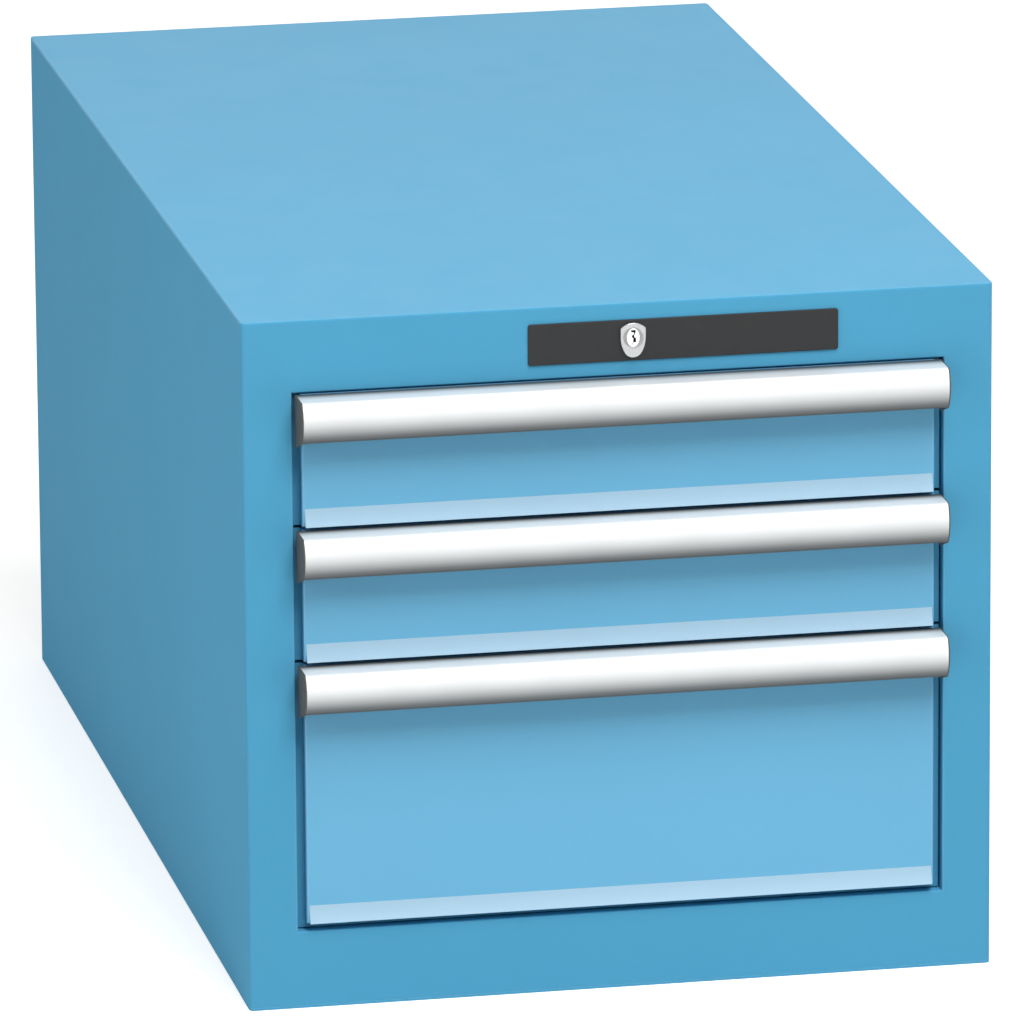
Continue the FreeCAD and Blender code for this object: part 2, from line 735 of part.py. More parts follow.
def lock_slider():
    """Link from the cam to the locking bar, whose slanted slot moves the bar up and down."""
    axis = size["lock_across"]
    low = lock_height + size["slider_foot"]
    top = low + size["slider_height"]
    pin = lock_height + size["bar_pin_lift"]
    bar = bar_centre
    slot = size["bar_pin_radius"] + size["bar_pin_play"]
    right = bar + slot + size["bar_pin_radius"]
    lobe = right - size["slider_lobe_width"]
    body = new_body("lock_slider")
    pad(body, "XZ_Plane", link_front, link_rear, [
        (axis - size["slider_left"], low),
        (lobe, low),
        (lobe, low - size["slider_lobe_drop"]),
        (right, low - size["slider_lobe_drop"]),
        (right, top),
        (axis - size["slider_left"], top),
    ])
    cam_half = size["crank_pin_radius"] + size["cam_slot_play"]
    lowest_pin = lock_height + crank_end_lift - cam_half
    highest_pin = lock_height + size["crank"] + cam_half
    pocket(body, "XZ_Plane", link_front, link_rear, rectangle(
        axis - half_stroke - cam_half, lowest_pin, axis - half_stroke + cam_half, highest_pin))
    stud_half = size["stud_radius"] + size["stud_play"]
    for place in (size["first_link_stud"], size["second_link_stud"]):
        pocket(body, "XZ_Plane", link_front, link_rear, capsule(
            axis + place, (low + top) / 2, stud_half, -stroke))
    slant = slot * Size(math.sqrt(0.5), "sqrt(0.5)")
    end = bar - stroke
    end_pin = pin - stroke
    pocket(body, "XZ_Plane", link_front, link_rear, [
        (bar + slant, pin - slant),
        Bow(bar + slant, pin + slant, slot, 1),
        Bow(bar - slant, pin + slant, slot, 1),
        (end - slant, end_pin + slant),
        Bow(end - slant, end_pin - slant, slot, 1),
        Bow(end + slant, end_pin - slant, slot, 1),
    ])


def locking_bar():
    """Upright bar behind the right post, with a lug over each drawer's catch."""
    bar = bar_centre
    half = size["bar_width"] / 2
    pin = lock_height + size["bar_pin_lift"]
    body = new_body("locking_bar")
    pad(body, "XZ_Plane", bar_front, bar_rear,
        rectangle(bar - half, size["bar_foot"], bar + half, pin + size["bar_head"]))
    tip = wall_outer + size["catch_reach"] - size["lug_overlap"]
    for line in module_lines:
        foot = line + size["catch_foot"] + size["catch_height"] + size["lug_play"] + stroke
        pad(body, "XZ_Plane", bar_front, bar_rear,
            rectangle(tip, foot, bar, foot + size["lug_height"]))
    stud_half = size["stud_radius"] + size["stud_play"]
    for place in (size["lower_bar_stud"], size["upper_bar_stud"]):
        pocket(body, "XZ_Plane", bar_front, bar_rear, standing_capsule(bar, place, stud_half, stroke))
    pad(body, "XZ_Plane", link_front - size["slider_gap"] / 2, bar_front,
        Disc(bar, pin, size["bar_pin_radius"]))


def lock_guide_studs():
    """Shouldered studs on the frame's inner flanges: two hold the link and two the bar."""
    axis = size["lock_across"]
    back = size["post_return"]
    play = size["stud_play"]
    link_middle = lock_height + size["slider_foot"] + size["slider_height"] / 2
    studs = []
    for place in (size["first_link_stud"], size["second_link_stud"]):
        studs.append((axis + place, link_middle, link_front, link_rear))
    for place in (size["lower_bar_stud"], size["upper_bar_stud"]):
        studs.append((bar_centre, place, bar_front, bar_rear))
    body = new_body("lock_guide_studs")
    for across, up, front, rear in studs:
        pad(body, "XZ_Plane", back, front - play, Disc(across, up, size["stud_collar_radius"]))
        pad(body, "XZ_Plane", front - play, rear + play, Disc(across, up, size["stud_radius"]))
        pad(body, "XZ_Plane", rear + play, rear + play + size["stud_head_height"],
            Disc(across, up, size["stud_collar_radius"]))


# Drawers

def on_line(name, line):
    """A piece that is drawn from its module line."""
    body = new_body(name)
    bind(body, "Placement.Base.z", line)
    return body


def drawer_side(name, side, line, module):
    """Side wall with its runner channel outside and rows of partition slots."""
    thick = size["drawer_sheet"]
    flange = size["runner_sheet"]
    low = size["drawer_lift"]
    top = module - size["wall_headroom"]
    edge = wall_outer + size["wall_edge"]
    channel = [
        (side * inside_half, low),
        (side * runner_tip, low),
        (side * runner_tip, low + flange),
        (side * wall_outer, low + flange),
        (side * wall_outer, runner_top - flange),
        (side * runner_tip, runner_top - flange),
        (side * runner_tip, runner_top),
    ]
    body = on_line(name, line)
    pad(body, "XZ_Plane", box_front, box_rear, channel + [
        (side * wall_outer, runner_top),
        (side * wall_outer, top - thick),
        (side * edge, top - thick),
        (side * edge, top),
        (side * inside_half, top),
    ])
    pad(body, "XZ_Plane", box_rear, slide_rear, channel + [(side * inside_half, runner_top)])
    if side > 0:
        place = size["catch_place"]
        pad(body, "XZ_Plane", place, place + size["catch_sheet"], rectangle(
            inside_half + thick / 2, size["catch_foot"],
            wall_outer + size["catch_reach"], size["catch_foot"] + size["catch_height"]))
    first = side * inside_half
    last = side * wall_outer
    if side < 0:
        first, last = last, first
    foot = runner_top + size["notch_margin"]
    half = size["notch_width"] / 2
    centre = box_front + thick + size["notch_start"]
    notch = pocket(body, "YZ_Plane", first, last, rectangle(
        centre - half, foot, centre + half, foot + size["notch_height"]))
    notched = drawer_length - 2 * size["notch_start"]
    columns = (notched / size["grid_step"]).whole() + 1
    rows = repeat(body, notch, "XZ_Plane", size["grid_step"], columns, backwards=True)
    room = top - thick - foot - size["notch_height"]
    levels = (room / size["notch_pitch"]).whole() + 1
    rows.Direction2 = (origin_feature(body, "XY_Plane"), [""])
    rows.Mode2 = "Spacing"
    bind(rows, "Offset2", size["notch_pitch"])
    bind(rows, "Occurrences2", levels)


def drawer_tray(name, line, module):
    """One sheet folded into the floor, the inner front and the rear wall."""
    thick = size["drawer_sheet"]
    low = size["drawer_lift"] + size["runner_sheet"]
    top = module - size["wall_headroom"] - size["end_drop"]
    body = on_line(name, line)
    pad(body, "YZ_Plane", -inside_half, inside_half, [
        (box_front, low),
        (box_rear, low),
        (box_rear, top),
        (box_rear - thick, top),
        (box_rear - thick, low + thick),
        (box_front + thick, low + thick),
        (box_front + thick, top),
        (box_front, top),
    ])


def screw_places():
    """Places across the drawer at which the handle is screwed on, evenly about the middle."""
    count = int(size["screw_count"].value)
    return [(index - (count - 1) / 2) * size["screw_spread"] for index in range(count)]


def screw_level(module):
    return module - size["panel_top_gap"] - size["handle_web"] / 2


def drawer_front(name, line, module, foot_gap):
    """Folded front: a raised face with a flared foot before a wider, set-back rim, hollow inside."""
    half = opening_half - size["panel_side_gap"]
    rim = opening_half - size["rim_gap"]
    thick = size["front_sheet"]
    setback = size["rim_setback"]
    rear = size["front_depth"]
    top = module - size["panel_top_gap"]
    foot = foot_gap
    rim_foot = size["panel_foot_gap"]
    body = on_line(name, line)
    pad(body, "XZ_Plane", 0, setback, rectangle(-half, foot, half, top))
    round_edges(body, thick, lambda edge, middle: near(middle.y, 0) and not near(middle.z, top))
    pad(body, "XZ_Plane", setback, rear, rectangle(-rim, rim_foot, rim, top))
    pocket(body, "XZ_Plane", thick, setback + thick,
           rectangle(thick - half, foot + thick, half - thick, top - thick))
    pocket(body, "XZ_Plane", setback + thick, rear - thick,
           rectangle(thick - rim, rim_foot + thick, rim - thick, top - thick))
    inset = size["lip_inset"]
    lip_foot = foot + size["lip_foot_inset"]
    lip_head = lip_foot + size["lip_height"]
    pad(body, "YZ_Plane", inset - half, half - inset, [
        (thick / 2, lip_foot),
        (thick / 2, lip_head),
        (0, lip_head),
        Bow(-size["lip_reach"], lip_foot, size["lip_radius"], -1),
    ])
    margin = size["window_margin"]
    window_top = top - size["wall_headroom"] - margin
    pocket(body, "XZ_Plane", rear - thick, rear,
           rectangle(margin - inside_half, runner_centre, inside_half - margin, window_top))
    holes = []
    for across in screw_places():
        holes.append(Disc(across, screw_level(module), size["screw_radius"] + size["screw_play"]))
    pocket(body, "XZ_Plane", 0, thick, *holes)


def drawer_handle(name, line, module):
    """Extruded grip: a web on the front, a shoulder over the fingers and a bulged strip."""
    half = opening_half - size["handle_side_gap"] - size["cap_thickness"]
    wall = size["handle_wall"]
    top = module - size["panel_top_gap"]
    reach = size["handle_reach"]
    foot = top - size["handle_height"]
    foot_reach = reach - size["handle_undercut"]
    bulge = size["handle_bulge_radius"]
    body = on_line(name, line)
    pad(body, "YZ_Plane", -half, half, [
        (0, top),
        (0, top - size["handle_web"]),
        (-wall, top - size["handle_web"]),
        (-wall, top - wall),
        (wall - reach, top - wall),
        Bow(wall - foot_reach, foot, bulge - wall, 1),
        (-foot_reach, foot),
        Bow(-reach, top, bulge, -1),
    ])
    round_edges(body, size["handle_shoulder_radius"], lambda edge, middle: (
        runs_along(edge, "X") and near(middle.y, -reach) and near(middle.z, top)))
    round_edges(body, size["handle_shoulder_radius"] - wall, lambda edge, middle: (
        runs_along(edge, "X") and near(middle.y, wall - reach) and near(middle.z, top - wall)))
    holes = []
    for across in screw_places():
        holes.append(Disc(across, screw_level(module), size["screw_radius"] + size["screw_play"]))
    pocket(body, "XZ_Plane", -wall, 0, *holes)


def handle_end_caps(name, line, module):
    """The two caps of a handle: a thin flange over its end and a plug under its shoulder."""
    outer = opening_half - size["handle_side_gap"]
    inner = outer - size["cap_thickness"]
    top = module - size["panel_top_gap"]
    reach = size["handle_reach"]
    foot_reach = reach - size["handle_undercut"]
    outline = [
        (0, top),
        (0, top - size["cap_height"]),
        (-foot_reach, top - size["handle_height"]),
        Bow(-reach, top, size["handle_bulge_radius"], -1),
    ]
    body = on_line(name, line)
    pad(body, "YZ_Plane", inner, outer, outline)
    pad(body, "YZ_Plane", -outer, -inner, outline)
    round_edges(body, size["handle_shoulder_radius"], lambda edge, middle: (
        runs_along(edge, "X") and near(middle.y, -reach) and near(middle.z, top)))
    play = size["cap_plug_play"]
    ceiling = top - size["handle_wall"] - play
    plug = rectangle(
        size["handle_shoulder_radius"] - reach + play, ceiling - size["cap_plug_height"],
        -size["handle_wall"] - play, ceiling)
    tip = inner - size["cap_plug_depth"]
    pad(body, "YZ_Plane", tip, inner, plug)
    pad(body, "YZ_Plane", -inner, -tip, plug)


def handle_screws(name, line, module):
    """Screws from inside the front into the handle's web."""
    thick = size["front_sheet"]
    level = screw_level(module)
    shanks = []
    heads = []
    for across in screw_places():
        shanks.append(Disc(across, level, size["screw_radius"]))
        heads.append(Disc(across, level, size["screw_head_radius"]))
    body = on_line(name, line)
    pad(body, "XZ_Plane", -size["handle_wall"], thick, *shanks)
    pad(body, "XZ_Plane", thick, thick + size["screw_head_height"], *heads)


def drawer_carriage(name, side, line):
    """The strip between runner and rail that carries three rollers."""
    low = runner_centre - size["carriage_height"] / 2
    body = on_line(name, line)
    pad(body, "XZ_Plane", slide_front, slide_rear, rectangle(
        side * carriage_inner, low, side * carriage_outer, low + size["carriage_height"]))
    first = side * carriage_inner
    last = side * carriage_outer
    if side < 0:
        first, last = last, first
    bores = []
    for place in roller_places.values():
        bores.append(Disc(place, runner_centre, size["hub_radius"] + size["hub_play"]))
    pocket(body, "YZ_Plane", first, last, *bores)


def roller_pair(name, line, place):
    """Two spools on one axis, left and right: treads in both tracks, hub in the strip."""
    inner = wall_outer + size["runner_sheet"]
    strip_inner = carriage_inner - size["roller_play"]
    strip_outer = carriage_outer + size["roller_play"]
    outer = rail_inner - size["runner_sheet"]
    body = on_line(name, line)
    tread = Disc(place, runner_centre, size["roller_radius"])
    hub = Disc(place, runner_centre, size["hub_radius"])
    pad(body, "YZ_Plane", inner, strip_inner, tread)
    pad(body, "YZ_Plane", strip_inner, strip_outer, hub)
    pad(body, "YZ_Plane", strip_outer, outer, tread)
    pad(body, "YZ_Plane", -outer, -strip_outer, tread)
    pad(body, "YZ_Plane", -strip_outer, -strip_inner, hub)
    pad(body, "YZ_Plane", -strip_inner, -inner, tread)


HANDS = (("left", -1), ("right", 1))

for hand, side in HANDS:
    side_panel(f"{hand}_side_panel", side)
    upright(f"{hand}_front_upright", side, size["front_upright_place"])
    upright(f"{hand}_rear_upright", side, size["rear_upright_place"])
top_panel()
bottom_panel()
back_panel()
front_top_rail()
front_bottom_rail()
lock_plate()
lock_cylinder()
lock_plug()
lock_cam()
lock_slider()
locking_bar()
lock_guide_studs()

for number, (line, module) in enumerate(zip(module_lines, module_heights), start=1):
    drawer = f"drawer_{number}"
    foot_gap = size["lowest_foot_gap"] if line is line_bottom else size["panel_foot_gap"]
    for hand, side in HANDS:
        cabinet_rail(f"cabinet_rail_{number}_{hand}", side, line)
        drawer_side(f"{drawer}_{hand}_side", side, line, module)
        drawer_carriage(f"{drawer}_{hand}_carriage", side, line)
    drawer_tray(f"{drawer}_tray", line, module)
    drawer_front(f"{drawer}_front", line, module, foot_gap)
    drawer_handle(f"{drawer}_handle", line, module)
    handle_end_caps(f"{drawer}_handle_caps", line, module)
    handle_screws(f"{drawer}_handle_screws", line, module)
    for name, place in roller_places.items():
        roller_pair(f"{drawer}_{name}_rollers", line, place)

doc.recompute()

# Every feature has to be sound, and every cut has to take something away
for item in doc.Objects:
    if "Invalid" in item.State or "Error" in item.State:
        raise RuntimeError(f"{item.Label} failed: {item.State}")
    if item.TypeId == "PartDesign::Pocket":
        if item.Shape.Volume > item.BaseFeature.Shape.Volume - SAME_PLACE:
            raise RuntimeError(f"{item.Label} cuts nothing")

os.makedirs("parts", exist_ok=True)
for body in nodes:
    if body.Shape.isNull() or not body.Shape.isValid():
        raise RuntimeError(f"{body.Label} has no valid shape")
    body.Shape.exportStep(f"parts/{body.Label}.step")
print(f"{len(nodes)} pieces written")
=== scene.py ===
"""Modular drawer cabinet: visible pieces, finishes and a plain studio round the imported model.

Metres, X to the right across the front, Y to the back, Z up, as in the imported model.
"""
import json
import math

import bpy
from bpy.props import FloatProperty, FloatVectorProperty, PointerProperty
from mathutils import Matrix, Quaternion, Vector

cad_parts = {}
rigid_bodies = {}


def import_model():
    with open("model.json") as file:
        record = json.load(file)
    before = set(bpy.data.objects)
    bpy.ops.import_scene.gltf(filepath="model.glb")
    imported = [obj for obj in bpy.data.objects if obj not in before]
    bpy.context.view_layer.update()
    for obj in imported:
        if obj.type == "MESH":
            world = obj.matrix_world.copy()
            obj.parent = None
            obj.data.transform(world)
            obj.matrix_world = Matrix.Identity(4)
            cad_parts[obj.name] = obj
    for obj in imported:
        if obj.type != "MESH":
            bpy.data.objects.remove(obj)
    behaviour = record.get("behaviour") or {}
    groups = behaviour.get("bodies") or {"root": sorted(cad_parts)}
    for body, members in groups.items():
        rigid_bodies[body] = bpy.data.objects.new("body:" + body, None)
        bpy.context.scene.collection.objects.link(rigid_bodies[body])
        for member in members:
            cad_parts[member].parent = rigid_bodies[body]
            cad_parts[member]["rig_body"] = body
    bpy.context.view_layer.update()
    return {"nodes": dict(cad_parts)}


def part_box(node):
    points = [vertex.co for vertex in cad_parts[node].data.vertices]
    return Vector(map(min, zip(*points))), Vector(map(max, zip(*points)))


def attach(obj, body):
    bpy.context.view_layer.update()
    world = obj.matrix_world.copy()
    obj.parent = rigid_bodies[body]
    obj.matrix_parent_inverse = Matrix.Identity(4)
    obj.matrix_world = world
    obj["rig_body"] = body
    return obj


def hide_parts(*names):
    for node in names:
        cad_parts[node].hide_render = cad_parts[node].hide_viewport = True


bl_info = {
    "name": "Modular drawer cabinet",
    "version": (1, 0, 0),
    "blender": (4, 5, 0),
    "location": "3D View > Sidebar > Cabinet",
    "description": "Folded sheet, handles, lock, rollers, finishes and studio of a drawer cabinet",
    "category": "Object",
}

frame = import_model()

MM = 0.001
X, Y, Z = 0, 1, 2
DRAWERS = (1, 2, 3)
ROLLER_ROWS = ("front", "middle", "rear")

# Nearer to each other than SAME_PLACE is one place, and further than LONG is clearly apart.
SAME_PLACE = 0.02 * MM
LONG = MM
# How far a cutter reaches past what it cuts.
PAST = MM
# A face looks a way when more than this share of its normal does.
LOOKS_THERE = 0.9
# Faces that meet at less than this are shaded as one.
SMOOTH_ANGLE = math.radians(12)
# The place of a piece's second and third finish in its list.
SECOND, THIRD = 1, 2
# Flat sides that stand for a round bar, the oval key face and a roller.
BAR_SIDES, OVAL_SIDES, ROLLER_SIDES = 64, 36, 48

# The camera was fitted to the corners that the picture shows.
CAMERA_PLACE = Vector((-1.17387, -6.00497, 1.80259))
CAMERA_AIM = Vector((-0.05932, -0.3625, 0.27066))
SENSOR_WIDTH = 36.0
CAMERA_REACH = 100.0

# Each softbox: its name, the setting with its power, width, height, place and aim.
SOFTBOXES = (
    ("key_softbox", "key_power", 1.6, 2.4, (0.42, -2.33, 3.18), (0, -0.36, 0.2)),
    ("fill_softbox", "fill_power", 2.0, 2.0, (-3.2, -1.2, 1.3), (-0.2, 0, 0.2)),
    ("side_softbox", "side_power", 2.0, 2.0, (3.4, -0.4, 1.3), (0.2, 0, 0.2)),
    ("rear_softbox", "rear_power", 2.0, 1.2, (0.75, 3.9, 1.7), (0, 0, 0.3)),
    ("overhead_softbox", "top_power", 2.6, 2.6, (0.3, 0.5, 3.6), (0, 0, 0.3)),
)

# The key slot from its lowest point round to the right: shares of its height, across and up.
KEY_SLOT = (
    (-0.119, -0.487), (-0.069, -0.487), (0.012, -0.325), (0.188, -0.325), (0.175, -0.012),
    (0.063, 0.012), (0.063, 0.163), (0.094, 0.213), (0.156, 0.375), (0.163, 0.513),
    (-0.15, 0.513), (-0.15, 0.363), (0.05, 0.363), (0.019, 0.188), (-0.094, 0.15),
    (-0.094, 0.012), (0.006, -0.038), (-0.012, -0.313), (-0.05, -0.35))
# Half the width and half the height of a box round it, in the same shares.
KEY_SLOT_BOX = (0.2, 0.52)

# Painted shade and reflection down the grip: how much of a dark tone is mixed into its colour from
# its upper edge (0) to its foot (1), under light as even as this.
GRIP_PAINTED_SHADE = (
    (0.0, 1.0), (0.03, 0.95), (0.055, 0.6), (0.085, 0.27), (0.12, 0.1), (0.18, 0.02), (0.36, 0.0),
    (0.46, 0.0), (0.57, 0.11), (0.68, 0.3), (0.8, 0.57), (0.9, 0.84), (1.0, 1.0))
WHITE = (1.0, 1.0, 1.0, 1.0)
# The share of a finish's fine grain in its clouds.
GRAIN_SHARE = 0.35


def srgb(code):
    """Turns an sRGB hex colour into linear light."""
    channels = [int(code[start:start + 2], 16) / 255 for start in (1, 3, 5)]
    return tuple(
        value / 12.92 if value <= 0.04045 else ((value + 0.055) / 1.055) ** 2.4
        for value in channels)


def length(name, description, millimetres):
    """A length property with its default in millimetres."""
    return FloatProperty(
        name=name, description=description, default=millimetres * MM, min=0.0, unit="LENGTH",
        subtype="DISTANCE")


def colour(name, description, code):
    """A colour property with its sRGB default."""
    return FloatVectorProperty(
        name=name, description=description, default=srgb(code), min=0.0, max=1.0, size=3,
        subtype="COLOR")


def power(name, description, watts):
    """The power of a lamp."""
    return FloatProperty(name=name, description=description, default=watts, subtype="POWER")


class HousingSizes(bpy.types.PropertyGroup):
    """Folds and edges of the housing's sheet steel."""
    sheet: length("Sheet", "Thickness of the housing's sheet", 1.5)
    corner_bend: length("Corner bend", "Outer radius of the upright corner bends", 2.5)
    inner_bend: length("Inner bend", "Outer radius of the folds inside the frame", 2.0)
    opening_edge: length("Opening edge", "Rounding of the frame round the drawers", 0.9)
    top_edge: length("Top edge", "Rounding of the top panel's rim", 0.6)
    post_backing: length("Post backing", "Width of the inner flange of a post", 21.5)
    lintel_backing: length("Lintel backing", "Height of the inner flange of the lintel", 37)
    sill_backing: length("Sill backing", "Height of the inner flange of the sill", 23)
    rear_flange: length("Rear flange", "Width of the side panels' rear flange", 15)
    eased_edge: length("Eased edge", "Rounding that paint gives a cut edge", 0.3)


class FrontSizes(bpy.types.PropertyGroup):
    """Folded drawer fronts with a flared foot."""
    sheet: length("Sheet", "Thickness of a front's sheet", 1.2)
    depth: length("Depth", "Depth of a front", 14)
    setback: length("Setback", "Face of a front to its set-back rim", 6)
    edge: length("Face edge", "Rounding round the face", 1.2)
    rim_reach: length("Rim reach", "Set-back rim beyond the face at each side", 4)
    lip_height: length("Lip height", "Height of the flared lip", 9.7)
    lip_inset: length("Lip inset", "Ends of the lip to the sides of its front", 1.3)
    lip_foot_inset: length("Lip foot inset", "Foot of the lip to the foot of its front", 0.3)
    lip_reach: length("Lip reach", "How far the lip stands forward", 3.4)
    lip_hollow: length("Lip hollow", "Radius of the hollow of the lip", 26)
    lip_edge: length("Lip edge", "Rounding of the lip's forward edge", 0.35)
    lowest_foot: length("Lowest foot", "Foot of the lowest face above its rim", 3.7)
    window_side: length("Window side", "Rim beside its rear opening", 34.5)
    window_foot: length("Window foot", "Rim below its rear opening", 14.4)
    window_top: length("Window top", "Rim above its rear opening", 21)


class HandleSizes(bpy.types.PropertyGroup):
    """Extruded handles and their end caps."""
    reach: length("Reach", "Upper edge of the strip in front of the front face", 19.6)
    strip: length("Strip", "Height of the bulged strip", 22.5)
    undercut: length("Undercut", "Foot of the strip behind its upper edge", 1.0)
    bulge: length("Bulge", "Radius of the strip's bulge", 18)
    shoulder: length("Shoulder", "Radius of the rounded shoulder", 3)
    wall: length("Wall", "Wall of the extrusion", 1.8)
    web: length("Web", "Web that lies on the front", 18)
    eased_edge: length("Eased edge", "Rounding of the extrusion's edges", 0.4)
    # Sets how the painted shade down the grip counts depth as height.
    painted_shade_slope: FloatProperty(
        name="Shade slope", default=0.27,
        description="Share of the depth that counts as height in the shade down the grip")
    cap: length("Cap", "Flange of an end cap", 0.8)
    cap_rear: length("Cap rear", "Rear edge of that flange", 29)
    cap_edge: length("Cap edge", "Rounding of its outer face", 0.25)
    plug_play: length("Plug play", "Room round the plug of a cap", 0.2)
    plug_height: length("Plug height", "Height of the plug of a cap", 8)
    plug_depth: length("Plug depth", "Plug of a cap, into the handle", 6)
    plug_edge: length("Plug edge", "Rounding of the plug's end", 0.4)


class LockSizes(bpy.types.PropertyGroup):
    """Shield, ring, plug and key slot of the central lock."""
    plate_corner: length("Plate corner", "Corner radius of the lock plate", 1.5)
    plate_edge: length("Plate edge", "Rounding of the lock plate's edges", 0.35)
    barrel: length("Barrel", "Radius of the lock's body", 6.6)
    barrel_hole: length("Barrel hole", "Radius of the hole for that body", 6.7)
    shield_half: length("Shield half width", "Half width of the shield", 6.9)
    shield_shoulder: length("Shield shoulder", "Shoulders above the axis", 5.1)
    shield_flank: length("Shield flank", "Radius of the flanks below the axis", 17)
    shield_thick: length("Shield thickness", "Thickness of the shield", 2)
    shield_edge: length("Shield edge", "Rounding of the shield's face", 0.35)
    ring: length("Ring", "Radius of the ring sunk into the shield", 5.9)
    ring_depth: length("Ring depth", "Depth of that ring", 0.4)
    bore: length("Bore", "Radius of the bore for the plug", 5.38)
    plug: length("Plug", "Radius of the plug", 5.3)
    tail: length("Tail", "Radius of the plug's tail", 3)
    tail_length: length("Tail length", "Length of that tail", 3.5)
    sunk: length("Sunk", "How far one turned part runs into the next", 0.2)
    key_face_half: length("Key face half width", "Half width of the oval face", 3.5)
    key_face_rise: length("Key face half height", "Half height of the oval face", 5.25)
    key_face_edge: length("Key face edge", "Rounding of the oval face", 0.15)
    key_height: length("Key slot height", "Height of the key slot", 8)
    key_depth: length("Key slot depth", "Depth of the key slot", 5)


class RollerSizes(bpy.types.PropertyGroup):
    """Spool rollers between the runners and the cabinet rails."""
    hub: length("Hub", "Radius of the hub", 4)
    hub_half: length("Hub half width", "Half the hub's length", 1.3)
    chamfer: length("Chamfer", "Chamfer of the treads", 0.5)
    dish: length("Dish", "Radius of the hollow in a roller's end", 6)
    dish_depth: length("Dish depth", "Depth of that hollow", 0.8)


class CabinetColours(bpy.types.PropertyGroup):
    """Colours of the finishes."""
    blue_coat: colour("Blue coat", "Light blue powder coat of the housing", "#4F9FC5")
    # Painted light: the top has a lighter tone of the housing's coat, for the light and sheen on
    # it.
    top_coat_painted_light: colour("Top coat", "Satin light blue powder coat of the top panel", "#4BA4CC")
    # Painted light: the fronts have a paler tone of the same coat, for the sheen on them.
    front_coat: colour("Front coat", "Paler powder coat of the drawer fronts", "#6CB3D8")
    # Painted shade: the set-back rims have a deeper tone of the same coat, for the shade in the
    # reveal round each front.
    rim_coat_painted_shade: colour("Rim coat", "Deeper powder coat of the set-back rims", "#4790B3")
    # Painted highlight: the flared lips have the palest tone of the same coat, for the light they
    # catch.
    lip_coat: colour("Lip coat", "Powder coat on the flared lips", "#A4C6DB")
    grey_coat: colour("Grey coat", "Light grey powder coat of the drawers", "#C3C8C9")
    aluminium: colour("Aluminium", "Satin anodised aluminium", "#EDEFF0")
    # Painted shade and reflection: this dark tone is mixed into the grip along its upper edge and
    # its foot.
    aluminium_painted_shade: colour("Aluminium edge", "Anodised aluminium along a die's edges", "#4A4E50")
    cap: colour("End cap", "Dark moulded end caps", "#54504A")
    lock_plate: colour("Lock plate", "Anthracite lock plate", "#2B2C2D")
    nickel: colour("Nickel", "Satin nickel plate", "#B4B6B7")
    nickel_polished: colour("Polished nickel", "Polished nickel plate", "#E8E8E7")
    nickel_matt: colour("Matt nickel", "Matt nickel round the key face", "#949698")
    # Painted shade: a near-black tone inside the key slot, for the shade in the deep slot.
    key_slot: colour("Key slot", "Oxidised zinc inside the key slot", "#1B1C1E")
    zinc: colour("Zinc", "Zinc-plated cold-rolled steel", "#B4B9BE")
    fastener: colour("Fastener", "Bright zinc-plated fasteners", "#C2C3C5")
    roller: colour("Roller", "Natural acetal", "#E9E6DC")
    floor: colour("Floor", "Pale studio floor", "#E4E4E2")


class StudioSettings(bpy.types.PropertyGroup):
    """Camera and lamps."""
    lens: FloatProperty(
        name="Lens", description="Focal length on a 36 mm sensor", default=390.05,
        subtype="DISTANCE_CAMERA")
    roll: FloatProperty(
        name="Roll", description="Tilt of the camera about its view", default=math.radians(0.405),
        subtype="ANGLE")
    key_power: power("Key", "Power of the softbox in front", 117.0)
    top_power: power("Overhead", "Power of the overhead softbox", 2.5)
    fill_power: power("Fill", "Power of the softbox at the left", 30.0)
    side_power: power("Side", "Power of the softbox at the right", 12.0)
    rear_power: power("Rear", "Power of the softbox behind, low", 7.0)
    ambient: FloatProperty(
        name="Ambient", description="Strength of the even light from all round", default=0.26)
    floor_lift: FloatProperty(
        name="Floor lift", default=0.6,
        description="Whiteness that the eye sees on the floor beside its own light")
    floor_half: length("Floor", "Half the width of the floor", 14000)


# Shaping

def on_plane(axis, level, points):
    """Lifts flat points onto the plane across an axis at a level."""
    return [Vector(point[:axis] + (level,) + point[axis:]) for point in points]


def bow(start, end, radius, turn, count):
    """Points after the start of an arc; a positive turn keeps the centre on the left."""
    start, end = Vector(start), Vector(end)
    chord = end - start
    left = Vector((-chord.y, chord.x)).normalized()
    centre = (start + end) / 2 + left * turn * math.sqrt(radius ** 2 - chord.length_squared / 4)
    first = start - centre
    begin = math.atan2(first.y, first.x)
    sweep = 2 * math.asin(chord.length / 2 / radius) * turn
    return [
        (centre.x + radius * math.cos(begin + sweep * step / count),
         centre.y + radius * math.sin(begin + sweep * step / count))
        for step in range(1, count + 1)]


def rounded(corners, closed=False, steps=10):
    """Points of an outline given as (across, up, corner radius)."""
    points = []
    last = len(corners) - 1
    for index, (across, up, radius) in enumerate(corners):
        here = Vector((across, up))
        if radius == 0 or (not closed and index in (0, last)):
            points.append((across, up))
            continue
        back = (Vector(corners[index - 1][:2]) - here).normalized()
        onward = (Vector(corners[(index + 1) % len(corners)][:2]) - here).normalized()
        half = back.angle(onward) / 2
        run = radius / math.tan(half)
        start = here + back * run
        end = here + onward * run
        turn = 1 if back.x * onward.y - back.y * onward.x < 0 else -1
        points.append(tuple(start))
        points.extend(bow(start, end, radius, turn, steps))
    return points


def rectangle(left, foot, right, head, corner=0):
    """A rectangle's outline, with rounded corners."""
    return rounded([(left, foot, corner), (right, foot, corner), (right, head, corner),
                    (left, head, corner)], closed=True)


def leave_edit_mode():
    """Goes back to object mode, where a mesh can be read."""
    if bpy.context.mode != "OBJECT":
        bpy.ops.object.mode_set(mode="OBJECT")


